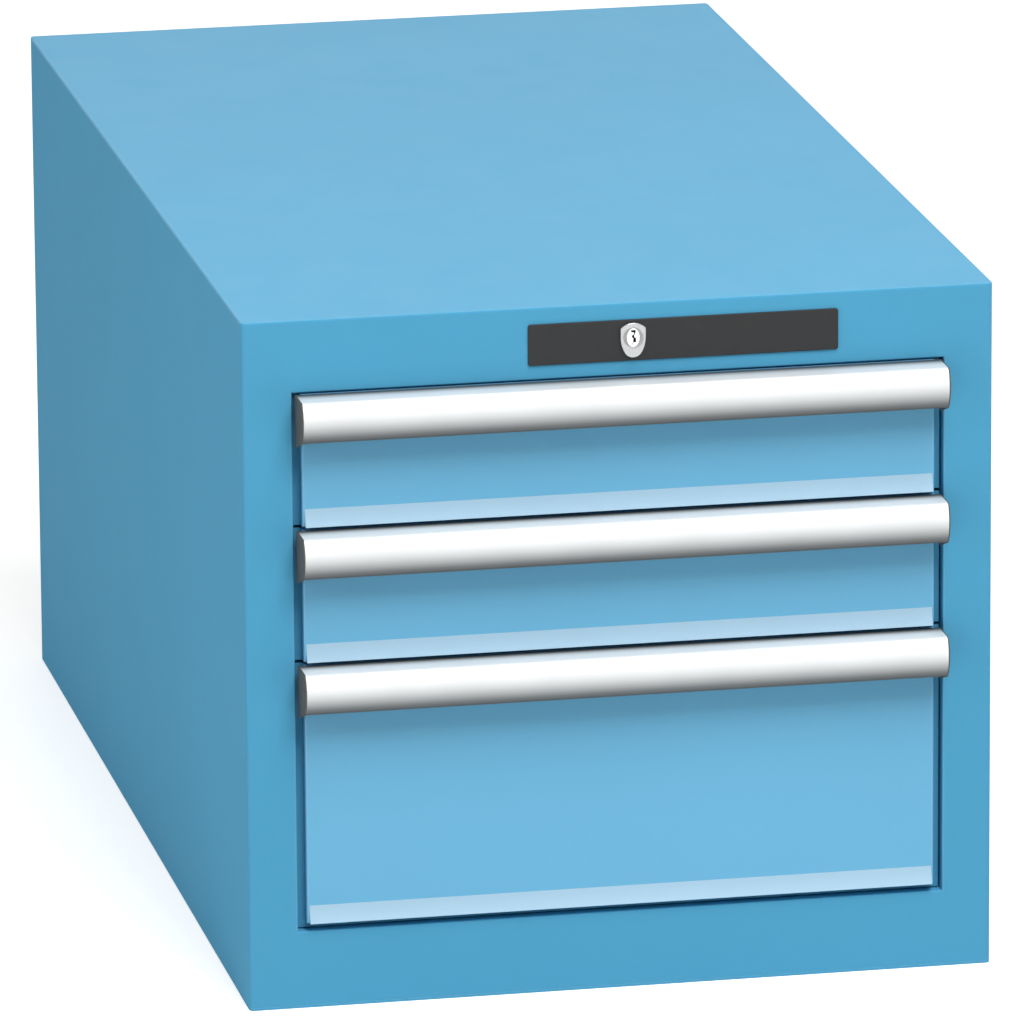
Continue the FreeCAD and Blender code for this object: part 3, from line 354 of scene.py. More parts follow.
def work_on(*pieces):
    """Leaves edit mode and selects these pieces alone, the first one active."""
    leave_edit_mode()
    bpy.ops.object.select_all(action="DESELECT")
    for piece in pieces:
        piece.select_set(True)
    if pieces:
        bpy.context.view_layer.objects.active = pieces[0]


def newest(name):
    """Names the object that was made last, and its data."""
    made = bpy.context.object
    made.name = made.data.name = name
    return made


def edit_all(piece):
    """Opens a piece in edit mode with all of it chosen."""
    work_on(piece)
    bpy.ops.object.mode_set(mode="EDIT")
    bpy.ops.mesh.select_all(action="SELECT")


def trace(name, points, closed=False):
    """Starts a piece as one vertex and extrudes it from point to point."""
    work_on()
    bpy.ops.mesh.primitive_plane_add(size=MM)
    piece = newest(name)
    bpy.ops.object.mode_set(mode="EDIT")
    bpy.ops.mesh.select_mode(type="VERT")
    bpy.ops.mesh.merge(type="CENTER")
    bpy.ops.transform.translate(value=points[0])
    for before, after in zip(points, points[1:]):
        bpy.ops.mesh.extrude_region_move(TRANSFORM_OT_translate={"value": after - before})
    bpy.ops.mesh.select_all(action="SELECT")
    if closed:
        bpy.ops.mesh.edge_face_add()
    return piece


def extrude(axis, distance):
    """Extrudes what is chosen along an axis."""
    way = Vector((0, 0, 0))
    way[axis] = distance
    bpy.ops.mesh.extrude_region_move(TRANSFORM_OT_translate={"value": way})


def solid(name, axis, level, outline, depth):
    """A closed piece: an outline across an axis at a level, extruded along that axis."""
    piece = trace(name, on_plane(axis, level, outline), closed=True)
    extrude(axis, depth)
    close_up(piece)
    return piece


def folded_sheet(name, axis, levels, line, outward, thickness):
    """A folded sheet: an open line extruded from level to level and thickened inwards."""
    piece = trace(name, on_plane(axis, levels[0], line))
    for before, after in zip(levels, levels[1:]):
        extrude(axis, after - before)
    face_out(piece, Vector(outward))
    apply_modifier(piece, "SOLIDIFY", thickness=thickness, offset=-1.0, use_even_offset=True)
    close_up(piece)
    return piece


def face_out(piece, direction):
    """Turns an open sheet so that the face lying furthest that way looks that way."""
    leave_edit_mode()
    across = [
        face for face in piece.data.polygons if abs(face.normal.dot(direction)) > LOOKS_THERE]
    outermost = max(across, key=lambda face: face.center.dot(direction))
    if outermost.normal.dot(direction) < 0:
        edit_all(piece)
        bpy.ops.mesh.flip_normals()


def round_off(piece, radius, steps, wanted, painted_highlight_edge=False):
    """Bevels the edges whose two ends pass a test; painted_highlight_edge gives them the second
    material, the paler coat on a bend that is partly a painted highlight.
    """
    edit_all(piece)
    bpy.ops.mesh.select_mode(type="EDGE")
    bpy.ops.mesh.select_all(action="DESELECT")
    leave_edit_mode()
    places = [vertex.co for vertex in piece.data.vertices]
    for edge in piece.data.edges:
        edge.select = wanted(*(places[end] for end in edge.vertices))
    if not any(edge.select for edge in piece.data.edges):
        raise RuntimeError(f"{piece.name}: no edge to round off")
    bpy.ops.object.mode_set(mode="EDIT")
    bpy.ops.mesh.bevel(
        offset=radius, segments=steps, affect="EDGES", clamp_overlap=True,
        material=SECOND if painted_highlight_edge else -1)


def facing(level):
    """A test for edges whose two ends lie no further back than a level."""
    return lambda one, two: max(one.y, two.y) < level + SAME_PLACE


def apply_modifier(piece, kind, **settings):
    """Adds a modifier with its settings and applies it."""
    work_on(piece)
    modifier = piece.modifiers.new(kind.title(), kind)
    for key, value in settings.items():
        setattr(modifier, key, value)
    bpy.ops.object.modifier_apply(modifier=modifier.name)


def close_up(piece):
    """Merges doubles and turns every face of a closed piece outwards."""
    edit_all(piece)
    bpy.ops.mesh.remove_doubles(threshold=SAME_PLACE / 20)
    bpy.ops.mesh.normals_make_consistent(inside=False)


def cut_out(piece, cutter, operation="DIFFERENCE"):
    """Takes the other's shape out of a piece, or with UNION adds it."""
    work_on(piece)
    apply_modifier(piece, "BOOLEAN", operation=operation, solver="EXACT", object=cutter)
    bpy.data.objects.remove(cutter)


def rod(radius, front, back):
    """A round bar on the lock's axis from one depth to another."""
    work_on()
    middle = lock_axis()
    middle.y = (front + back) / 2
    bpy.ops.mesh.primitive_cylinder_add(
        vertices=BAR_SIDES, radius=radius, depth=back - front, location=middle,
        rotation=(math.pi / 2, 0, 0))
    bpy.ops.object.transform_apply(location=True, rotation=True, scale=True)
    return bpy.context.object


def block(name, low, high):
    """A closed block between two corners."""
    outline = rectangle(low[0], low[2], high[0], high[2])
    return solid(name, Y, low[1], outline, high[1] - low[1])


def join(piece, *others):
    """Adds other meshes to a piece."""
    work_on(piece, *others)
    bpy.ops.object.join()


def copy_to(piece, name, distance):
    """A copy with its own mesh, moved in its mesh."""
    work_on(piece)
    bpy.ops.object.duplicate(linked=False)
    copied = newest(name)
    edit_all(copied)
    bpy.ops.transform.translate(value=distance)
    leave_edit_mode()
    return copied


def set_finish(piece, *slots):
    """Gives a piece the finishes of these slots in this order."""
    piece.data.materials.clear()
    for slot in slots:
        piece.data.materials.append(finish(slot))


def lock_axis():
    """The middle of the lock's plug."""
    low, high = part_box("lock_plug")
    return (low + high) / 2


def lock_hole(radius, start, end):
    """A cutter on the lock's axis that reaches past both ends of what it goes through."""
    return rod(radius, start - PAST, end + PAST)


def front_plane():
    """How far forward the housing's front lies."""
    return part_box("front_top_rail")[0].y


def complete(piece, node):
    """Shades a finished piece and lets it stand for its node on that node's body."""
    work_on(piece)
    bpy.ops.object.shade_smooth_by_angle(angle=SMOOTH_ANGLE)
    apply_modifier(piece, "WEIGHTED_NORMAL", mode="FACE_AREA", weight=50, keep_sharp=True)
    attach(piece, frame["nodes"][node]["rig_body"])
    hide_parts(node)


def make_alike(pairs, make, sizes):
    """Makes the first piece of (node, name) pairs and copies it to the others' places."""
    first = None
    for node, name in pairs:
        low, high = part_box(node)
        if first:
            piece = copy_to(first, name, high - first_high)
        else:
            piece = first = make(sizes, name, low, high)
            first_high = high
        complete(piece, node)


# Finishes

def add_node(tree, kind, settings=None, links=None):
    """Adds a shader node; small-letter settings are its properties, the others its inputs."""
    node = tree.nodes.new("ShaderNode" + kind)
    for key, value in (settings or {}).items():
        if isinstance(key, str) and key[0].islower():
            setattr(node, key, value)
        else:
            node.inputs[key].default_value = value
    for key, output in (links or {}).items():
        tree.links.new(output, node.inputs[key])
    return node


def brighter(tone, share):
    """A tone made brighter by a share, or darker where that is negative."""
    return tuple(min(1.0, channel * (1 + share)) for channel in tone) + (1.0,)


def paler(tone, share):
    """A tone moved that share of the way to white."""
    return tuple(channel + (1 - channel) * share for channel in tone)


def patches(tree, place, width, low=0.0, high=1.0, detail=2.0, roughness=0.5, ends=(0.3, 0.7)):
    """A value from low to high in soft patches so many mm wide, or so many along each axis."""
    widths = width if isinstance(width, tuple) else (width,) * 3
    laid = add_node(tree, "Mapping", {
        "Scale": tuple(1 / (across * MM) for across in widths)}, {"Vector": place})
    cells = add_node(tree, "TexNoise", {
        "Scale": 1.0, "Detail": detail, "Roughness": roughness}, {"Vector": laid.outputs["Vector"]})
    return add_node(tree, "MapRange", {
        "From Min": ends[0], "From Max": ends[1], "To Min": low, "To Max": high},
        {"Value": cells.outputs["Fac"]}).outputs["Result"]


def edge_wear_and_painted_highlight(tree, hue, wear_and_highlight_tone, radius, share):
    """Mixes another tone in where a rounding of that radius would change the surface: edge wear and
    a painted highlight along the edge.
    """
    soft = add_node(tree, "Bevel", {"samples": 4, "Radius": radius * MM})
    true = add_node(tree, "NewGeometry")
    likeness = add_node(tree, "VectorMath", {"operation": "DOT_PRODUCT"}, {
        0: soft.outputs["Normal"], 1: true.outputs["True Normal"]})
    edge = add_node(tree, "MapRange", {
        "From Min": 0.98, "From Max": 0.75, "To Min": 0.0, "To Max": share},
        {"Value": likeness.outputs["Value"]})
    mixed = add_node(tree, "Mix", {
        "data_type": "RGBA", 7: wear_and_highlight_tone}, {0: edge.outputs["Result"], 6: hue})
    return mixed.outputs[2], soft.outputs["Normal"]


def shade_along(tree, hue, attribute, stops, dark):
    """Paints shade in: mixes a dark tone in along an attribute of the mesh, as far as the stops
    say.
    """
    along = add_node(tree, "Attribute", {"attribute_name": attribute})
    ramp = add_node(tree, "ValToRGB", {}, {"Fac": along.outputs["Fac"]})
    elements = ramp.color_ramp.elements
    for where, share in stops:
        ends = {stops[0][0]: elements[0], stops[-1][0]: elements[-1]}
        element = ends.get(where) or elements.new(where)
        element.color = (share, share, share, 1.0)
    return add_node(tree, "Mix", {"data_type": "RGBA", 7: dark + (1.0,)}, {
        0: ramp.outputs["Color"], 6: hue}).outputs[2]


def surface(name, tone, settings, share, clouds, grain=None, gloss=None, relief=None, bump=(0, 0),
            wear_and_highlight_tone=None, shade=None):
    """A finish on the object's own coordinates; clouds, grain, gloss and relief are patches.

    Clouds, with some grain, move the tone by a share either way, gloss is the roughness, and
    relief a bump of a strength and a depth in mm. Worn edges mix in a paler tone, for edge wear and
    a painted highlight, and shade mixes in painted shade.
    """
    material = bpy.data.materials.new(name)
    material.use_nodes = True
    tree = material.node_tree
    tree.nodes.clear()
    shader = add_node(tree, "BsdfPrincipled", settings)
    add_node(tree, "OutputMaterial", {}, {"Surface": shader.outputs["BSDF"]})
    place = add_node(tree, "TexCoord").outputs["Object"]

    drift = patches(tree, place, **clouds)
    if grain:
        drift = add_node(tree, "Mix", {"data_type": "FLOAT", 0: GRAIN_SHARE}, {
            2: drift, 3: patches(tree, place, **grain)}).outputs[0]
    hue = add_node(tree, "Mix", {
        "data_type": "RGBA", 6: brighter(tone, -share), 7: brighter(tone, share)},
        {0: drift}).outputs[2]
    forms = {}
    if wear_and_highlight_tone:
        hue, forms["Normal"] = edge_wear_and_painted_highlight(tree, hue, *wear_and_highlight_tone)
    if shade:
        hue = shade_along(tree, hue, *shade)
    tree.links.new(hue, shader.inputs["Base Color"])
    if gloss:
        tree.links.new(patches(tree, place, **gloss), shader.inputs["Roughness"])
    if relief:
        forms["Height"] = patches(tree, place, ends=(0.0, 1.0), **relief)
        raised = add_node(tree, "Bump", {
            "Strength": bump[0], "Distance": bump[1] * MM}, forms)
        tree.links.new(raised.outputs["Normal"], shader.inputs["Normal"])
    return material, shader


def powder_coat(name, tone, on_bend_painted_highlight=False, worn_and_highlit_edges=False, rough=0.75, gloss=0.15):
    """Powder sprayed on sheet steel and stoved: one even colour under a fine orange peel.

    The peel's crests lie about 2.5 mm apart, a few hundredths high, and break up the gloss.
    On a bend a paler line follows the fold: partly the thinner coat there, partly a painted
    highlight of the rounded edge. The powder's own grain is too fine to show, so it is drawn as
    coarse as it needs, 1.6 mm wide.
    """
    if on_bend_painted_highlight:
        tone = paler(tone, 0.04)
    return surface(
        name, tone, {"Roughness": rough, "IOR": 1.5, "Specular IOR Level": gloss}, 0.02,
        clouds={"width": 140}, grain={"width": 1.6, "roughness": 0.6},
        gloss={"width": 30, "detail": 3.0, "low": rough - 0.015, "high": rough + 0.015},
        relief={"width": 2.5, "detail": 3.0, "roughness": 0.45}, bump=(0.35, 0.05),
        # Along cut edges a paler tone is mixed in, for edge wear and a painted highlight.
        wear_and_highlight_tone=(paler(tone, 0.25) + (1.0,), 0.5, 0.6) if worn_and_highlit_edges else None)


def rolled_steel(name, tone, rough, width):
    """Cold-rolled steel, zinc plated: a satin metal with cloudy plating and brighter edges, for
    rubbed plating and a painted highlight.

    Its rolling lines run along the strip. They are finer than a tenth of a millimetre, too
    fine to show, and are drawn four to eight times as wide.
    """
    lines = {"width": (width, 160, width), "detail": 3.0, "roughness": 0.6}
    return surface(
        name, tone, {"Metallic": 1.0, "Roughness": rough}, 0.07,
        clouds={"width": 18, "detail": 3.0},
        gloss={**lines, "low": rough - 0.08, "high": rough + 0.1}, relief=lines, bump=(0.2, 0.02),
        wear_and_highlight_tone=(brighter(tone, 0.35), 0.3, 0.7))


def anodised_aluminium(name, tone, edge):
    """Extruded aluminium, etched and anodised: pale, soft in gloss, with die lines lengthwise.

    The dark that a polished studio wall would give to the upper and lower edge of the grip is
    in its tone. Die lines of a tenth of a millimetre are too fine to show and are drawn 0.9 mm
    wide.
    """
    lines = {"width": (220, 0.9, 0.9), "detail": 3.0, "roughness": 0.65}
    return surface(
        name, tone, {"Metallic": 0.25, "Roughness": 0.5, "Specular IOR Level": 0.3}, 0.025,
        clouds={"width": 35}, gloss={**lines, "low": 0.46, "high": 0.56}, relief=lines,
        # The grip's painted shade and reflection: the dark edge tone mixed in down the strip.
        bump=(0.18, 0.02), shade=("down_the_strip", GRIP_PAINTED_SHADE, tuple(edge)))


def moulded_plastic(name, tone, rough, grit):
    """Injection-moulded plastic: dull, with the even pitted texture of an eroded mould.

    The pits are about a tenth of a millimetre wide, too fine to show, and are drawn about ten
    times as wide.
    """
    return surface(
        name, tone, {"Roughness": rough, "IOR": 1.46, "Specular IOR Level": 0.3}, 0.06,
        clouds={"width": 9, "detail": 3.0},
        gloss={"width": 4, "detail": 3.0, "low": rough - 0.05, "high": rough + 0.07},
        relief={"width": grit, "roughness": 0.7}, bump=(0.3, 0.04))


def nickel(name, tone, rough):
    """Die-cast zinc, nickel plated: a cool bright metal with upright lines from its polishing.

    The lines are a few hundredths wide, too fine to show, and are drawn 0.5 mm wide.
    """
    lines = {"width": (0.5, 6, 8), "detail": 3.0, "roughness": 0.6}
    return surface(
        name, tone, {"Metallic": 1.0, "Roughness": rough}, 0.03, clouds={"width": 3},
        gloss={**lines, "low": rough * 0.8, "high": rough * 1.3}, relief=lines, bump=(0.1, 0.01))


def recipes(colours):
    """For each slot: how its finish is made, the finish's name, its colour and what is its own."""
    satin = {"rough": 0.5, "gloss": 0.25}
    return {
        # The housing's coat is matt: one even light blue, with no lamp mirrored in it.
        "blue_powder_coat": (
            powder_coat, "Stoved powder coat - matt blue", colours.blue_coat, {}),
        # On sheet cut square, a paler tone is mixed in along the edges: rubbed wear and a painted
        # highlight.
        "blue_powder_coat_on_folded_sheet": (
            powder_coat, "Stoved powder coat - matt blue on cut sheet", colours.blue_coat,
            {"worn_and_highlit_edges": True}),
        # The top and the fronts are satin: a broad soft sheen lies over them.
        # Painted light: the top's tone is lighter than the housing's, for the light on it.
        "satin_powder_coat": (
            powder_coat, "Stoved powder coat - satin blue", colours.top_coat_painted_light, satin),
        # Painted light: the fronts' tone is paler than the housing's, for the sheen on them.
        "front_powder_coat": (
            powder_coat, "Stoved powder coat - satin front", colours.front_coat, satin),
        # Painted shade: matt and deeper, so that the set-back rims read as a dark, shaded frame
        # round each front.
        "rim_powder_coat_painted_shade": (powder_coat, "Stoved powder coat - matt rim", colours.rim_coat_painted_shade, {}),
        # Palest: a painted highlight, because the flared lips face the light.
        "lip_powder_coat": (powder_coat, "Stoved powder coat - satin lip", colours.lip_coat, satin),
        "grey_powder_coat": (
            powder_coat, "Stoved powder coat - satin grey", colours.grey_coat,
            {"worn_and_highlit_edges": True, **satin}),
        "zinc_plated_steel": (
            rolled_steel, "Cold-rolled steel - zinc plated", colours.zinc,
            {"rough": 0.38, "width": 0.8}),
        # Smoother than the sheet, so that screw heads glint.
        "bright_fasteners": (
            rolled_steel, "Steel fasteners - bright zinc plated", colours.fastener,
            {"rough": 0.28, "width": 0.4}),
        # The grip's dark upper edge and foot are painted shade and reflection.
        "anodised_aluminium": (
            anodised_aluminium, "Extruded aluminium - satin anodised", colours.aluminium,
            {"edge": colours.aluminium_painted_shade}),
        "dark_moulded_plastic": (
            moulded_plastic, "Moulded nylon - dark", colours.cap, {"rough": 0.5, "grit": 0.8}),
        "lock_plate_black": (
            moulded_plastic, "Moulded ABS - anthracite", colours.lock_plate,
            {"rough": 0.42, "grit": 0.9}),
        "nickel_plate": (
            nickel, "Die-cast zinc - satin nickel plated", colours.nickel, {"rough": 0.25}),
        # The plug's face is polished and shows as the brightest spot of the lock.
        "polished_nickel": (
            nickel, "Die-cast zinc - polished nickel plated", colours.nickel_polished,
            {"rough": 0.18}),
        "matt_nickel": (
            nickel, "Die-cast zinc - matt nickel plated", colours.nickel_matt, {"rough": 0.35}),
        # Painted shade: the deep key slot is given a near-black tone so that it stays black.
        "key_slot_painted_shade": (nickel, "Die-cast zinc - oxidised", colours.key_slot, {"rough": 0.6}),
        # Milky and smooth, as bearing plastic is.
        "roller_plastic": (
            moulded_plastic, "Moulded acetal - natural", colours.roller,
            {"rough": 0.38, "grit": 1.2}),
    }


def finish(slot):
    """The material of a slot, made when it is first asked for; with _on_bend_painted_highlight, its
    thinner, paler coat on a bend, partly a painted highlight.
    """
    base = slot.removesuffix("_on_bend")
    maker, name, tone, own = recipes(bpy.context.scene.cabinet_colours)[base]
    if slot != base:
        name, own = f"{name} on a bend", {**own, "on_bend_painted_highlight": True}
    return bpy.data.materials.get(name) or maker(name, tuple(tone), **own)[0]


# Pieces

class CABINET_OT_side_panels(bpy.types.Operator):
    """Fold the two side panels: front post, side wall and rear flange in one sheet each"""
    bl_idname = "cabinet.side_panels"
    bl_label = "Side panels"

    def execute(self, context):
        sizes = context.scene.housing_sizes
        rail_low, rail_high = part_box("front_top_rail")
        sill_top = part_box("front_bottom_rail")[1].z
        for node, side in (("left_side_panel", -1), ("right_side_panel", 1)):
            low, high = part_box(node)
            outer, edge = (high.x, low.x) if side > 0 else (low.x, high.x)
            flange_end = outer - side * sizes.rear_flange
            line = rounded([
                (edge + side * sizes.post_backing, rail_high.y, 0),
                (edge, rail_high.y, sizes.inner_bend),
                (edge, low.y, 0),
                (outer, low.y, sizes.corner_bend),
                (outer, high.y, sizes.corner_bend),
                (flange_end, high.y, 0),
            ])
            piece = folded_sheet(
                "side_sheet_right" if side > 0 else "side_sheet_left", Z,
                (low.z, sill_top, rail_low.z, high.z), line, (side, 0, 0), sizes.sheet)

            def upright(across, forward, lowest, highest):
                """A test for upright edges at that place, between two levels."""
                return lambda one, two: abs(one.z - two.z) > LONG and all(
                    abs(end.x - across) < SAME_PLACE and end.y < forward + SAME_PLACE
                    and lowest - SAME_PLACE < end.z < highest + SAME_PLACE for end in (one, two))

            set_finish(piece, "blue_powder_coat", "blue_powder_coat_on_bend")
            round_off(piece, sizes.opening_edge, 3, upright(edge, low.y, sill_top, rail_low.z),
                      painted_highlight_edge=True)
            round_off(piece, sizes.eased_edge, 2, upright(flange_end, high.y, low.z, high.z),
                      painted_highlight_edge=True)
            complete(piece, node)
        return {"FINISHED"}


class CABINET_OT_top_panel(bpy.types.Operator):
    """Make the top panel, with rounded corners and rim"""
    bl_idname = "cabinet.top_panel"
    bl_label = "Top panel"

    def execute(self, context):
        sizes = context.scene.housing_sizes
        low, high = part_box("top_panel")
        outline = rectangle(low.x, low.y, high.x, high.y, sizes.corner_bend)
        piece = solid("top_sheet", Z, low.z, outline, high.z - low.z)
        set_finish(piece, "satin_powder_coat", "satin_powder_coat_on_bend")
        round_off(piece, sizes.top_edge, 5,
                  lambda one, two: min(one.z, two.z) > high.z - SAME_PLACE, painted_highlight_edge=True)
        complete(piece, "top_panel")
        return {"FINISHED"}


class CABINET_OT_frame_rails(bpy.types.Operator):
    """Fold the lintel and the sill of the front frame"""
    bl_idname = "cabinet.frame_rails"
    bl_label = "Lintel and sill"

    def execute(self, context):
        sizes = context.scene.housing_sizes
        for node in ("front_top_rail", "front_bottom_rail"):
            low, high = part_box(node)
            edge, far, backing = low.z, high.z, sizes.lintel_backing
            if node == "front_bottom_rail":
                edge, far, backing = high.z, low.z, -sizes.sill_backing
            line = [(high.y, edge + backing, 0), (high.y, edge, sizes.inner_bend),
                    (low.y, edge, sizes.opening_edge), (low.y, far, 0)]
            piece = folded_sheet(
                f"{node}_sheet", X, (low.x, high.x), rounded(line), (0, -1, 0), sizes.sheet)
            if node == "front_top_rail":
                hole = context.scene.lock_sizes.barrel_hole
                cut_out(piece, lock_hole(hole, low.y, high.y))
            set_finish(piece, "blue_powder_coat", "blue_powder_coat_on_bend")
            complete(piece, node)
        return {"FINISHED"}


class CABINET_OT_lock_plate(bpy.types.Operator):
    """Make the dark plate in the lintel"""
    bl_idname = "cabinet.lock_plate"
    bl_label = "Lock plate"

    def execute(self, context):
        sizes = context.scene.lock_sizes
        low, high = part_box("lock_plate")
        outline = rectangle(low.x, low.z, high.x, high.z, sizes.plate_corner)
        piece = solid("lock_plate_moulding", Y, low.y, outline, high.y - low.y)
        round_off(piece, sizes.plate_edge, 3, facing(low.y))
        cut_out(piece, lock_hole(sizes.barrel_hole, low.y, high.y))
        set_finish(piece, "lock_plate_black")
        complete(piece, "lock_plate")
        return {"FINISHED"}


def shield_outline(sizes, axis, low, high):
    """The shield: an arch over two shoulders, straight sides, and flanks that meet a round foot."""
    half, flank = sizes.shield_half, sizes.shield_flank
    shoulder = axis.z + sizes.shield_shoulder
    rise = high.z - shoulder
    arch = (half ** 2 + rise ** 2) / 2 / rise
    inset = flank - half
    turn = math.pi / 2 - 2 * math.atan((flank - (axis.z - low.z)) / inset)
    foot = flank - inset / math.cos(turn)
    reach, level = flank * math.cos(turn) - inset, axis.z - flank * math.sin(turn)
    points = [(axis.x + half, shoulder)]
    points += bow(points[-1], (axis.x, high.z), arch, 1, 8)
    points += bow(points[-1], (axis.x - half, shoulder), arch, 1, 8)
    points.append((axis.x - half, axis.z))
    points += bow(points[-1], (axis.x - reach, level), flank, 1, 8)
    points += bow(points[-1], (axis.x + reach, level), foot, 1, 12)
    points += bow(points[-1], (axis.x + half, axis.z), flank, 1, 8)
    return points


class CABINET_OT_lock_cylinder(bpy.types.Operator):
    """Make the lock's shield and barrel"""
    bl_idname = "cabinet.lock_cylinder"
    bl_label = "Lock shield and barrel"

    def execute(self, context):
        sizes = context.scene.lock_sizes
        low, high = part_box("lock_cylinder")
        outline = shield_outline(sizes, lock_axis(), low, high)
        piece = solid("lock_shield", Y, low.y, outline, sizes.shield_thick)
        round_off(piece, sizes.shield_edge, 4, facing(low.y))
        cut_out(piece, lock_hole(sizes.ring, low.y, low.y + sizes.ring_depth - PAST))
        cut_out(piece, lock_hole(sizes.bore, low.y, high.y))
        barrel = rod(sizes.barrel, low.y + sizes.shield_thick, high.y)
        cut_out(barrel, lock_hole(sizes.bore, low.y, high.y))
        join(piece, barrel)
        set_finish(piece, "nickel_plate")
        complete(piece, "lock_cylinder")
        return {"FINISHED"}


class CABINET_OT_lock_plug(bpy.types.Operator):
    """Make the plug with its oval key face and stepped key slot"""
    bl_idname = "cabinet.lock_plug"
    bl_label = "Lock plug"

    def execute(self, context):
        sizes = context.scene.lock_sizes
        low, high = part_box("lock_plug")
        axis = lock_axis()
        front = low.y + sizes.ring_depth
        turns = [math.tau * step / OVAL_SIDES for step in range(OVAL_SIDES)]
        oval = [(axis.x + sizes.key_face_half * math.cos(turn),
                 axis.z + sizes.key_face_rise * math.sin(turn)) for turn in turns]
        piece = solid("lock_plug_turned", Y, low.y, oval, front + sizes.sunk - low.y)
        round_off(piece, sizes.key_face_edge, 2, facing(low.y))
        neck = high.y - sizes.tail_length
        cut_out(piece, rod(sizes.plug, front, neck), "UNION")
        cut_out(piece, rod(sizes.tail, neck - sizes.sunk / 2, high.y), "UNION")
        tall = sizes.key_height
        outline = [(axis.x + across * tall, axis.z + up * tall) for across, up in KEY_SLOT]
        cut_out(piece, solid(
            "key_slot_cutter", Y, low.y - PAST, outline, sizes.key_depth + PAST))
        set_finish(piece, "polished_nickel", "matt_nickel", "key_slot_painted_shade")
        leave_edit_mode()
        for part in piece.data.polygons:
            middle = part.center
            if middle.y > front - SAME_PLACE:
                part.material_index = SECOND
            # Faces inside the key slot take the third finish, whose near-black tone is painted
            # shade.
            if (low.y + SAME_PLACE < middle.y < low.y + sizes.key_depth + SAME_PLACE
                    and abs(middle.x - axis.x) < KEY_SLOT_BOX[0] * tall
                    and abs(middle.z - axis.z) < KEY_SLOT_BOX[1] * tall
                    and (part.normal.y > -LOOKS_THERE or middle.y > front + MM)):
                part.material_index = THIRD
        complete(piece, "lock_plug")
        return {"FINISHED"}


def fold_front(sizes, node, low, high, foot):
    """A drawer's front from its rim's two corners and the level of its face's foot."""
    sheet = sizes.sheet
    face = high.y - sizes.depth
    step = face + sizes.setback
    left, right = low.x + sizes.rim_reach, high.x - sizes.rim_reach
    piece = block(f"{node}_folded", (left, face, foot), (right, step + sheet, high.z))
    cut_out(piece, block("rim", (low.x, step, low.z), high), "UNION")
    close_up(piece)
    set_finish(piece, "front_powder_coat", "front_powder_coat_on_bend", "rim_powder_coat_painted_shade")
    round_off(piece, sizes.edge, 4, lambda one, two: (
        facing(face)(one, two) and min(one.z, two.z) < high.z - SAME_PLACE), painted_highlight_edge=True)
    leave_edit_mode()
    # The set-back rim takes the third finish, whose deeper tone is painted shade.
    for part in piece.data.polygons:
        if part.center.y > step - SAME_PLACE:
            part.material_index = THIRD
    side, below, above = sizes.window_side, sizes.window_foot, sizes.window_top
    for hollow, lowest, highest in (
            ("face_hollow", (left + sheet, face + sheet, foot + sheet),
             (right - sheet, step + 2 * sheet, high.z - sheet)),
            ("rim_hollow", (low.x + sheet, step + sheet, low.z + sheet),
             (high.x - sheet, high.y - sheet, high.z - sheet)),
            ("window", (low.x + side, high.y - 2 * sheet, low.z + below),
             (high.x - side, high.y + sheet, high.z - above))):
        cut_out(piece, block(hollow, lowest, highest))
    foot += sizes.lip_foot_inset
    head = foot + sizes.lip_height
    tip = face - sizes.lip_reach
    line = [(face + sheet / 2, foot), (face + sheet / 2, head), (face, head)]
    line += bow(line[-1], (tip, foot), sizes.lip_hollow, -1, 12)
    lip = solid(f"{node}_lip", X, left + sizes.lip_inset, line,
                right - left - 2 * sizes.lip_inset)
    # The lip's palest tone is a painted highlight.
    set_finish(lip, "lip_powder_coat")
    round_off(lip, sizes.lip_edge, 3, facing(tip))
    join(piece, lip)
    return piece


class CABINET_OT_drawer_fronts(bpy.types.Operator):
    """Fold the drawer fronts: face, set-back rim and flared lip"""
    bl_idname = "cabinet.drawer_fronts"
    bl_label = "Drawer fronts"

    def execute(self, context):
        sizes = context.scene.front_sizes
        for number in DRAWERS:
            node = f"drawer_{number}_front"
            low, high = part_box(node)
            foot = low.z if number != max(DRAWERS) else low.z + sizes.lowest_foot
            complete(fold_front(sizes, node, low, high, foot), node)
        return {"FINISHED"}


def grip_line(sizes, top, front):
    """The handle's outer line, from the foot of the strip over the shoulder, as (Y, Z) points."""
    foot = Vector((sizes.undercut - sizes.reach, -sizes.strip))
    crown = Vector((-sizes.reach, 0))
    chord = crown - foot
    left = Vector((-chord.y, chord.x)).normalized()
    centre = (foot + crown) / 2 - left * math.sqrt(sizes.bulge ** 2 - chord.length_squared / 4)
    inner = sizes.bulge - sizes.shoulder
    drop = -sizes.shoulder - centre.y
    middle = Vector((centre.x - math.sqrt(inner ** 2 - drop ** 2), -sizes.shoulder))
    touch = centre + (middle - centre) * (sizes.bulge / inner)
    crest = Vector((middle.x, 0))
    points = [tuple(foot)]
    points += bow(foot, touch, sizes.bulge, -1, 14)
    points += bow(touch, crest, sizes.shoulder, -1, 14)
    return [(front + across, top + up) for across, up in points]


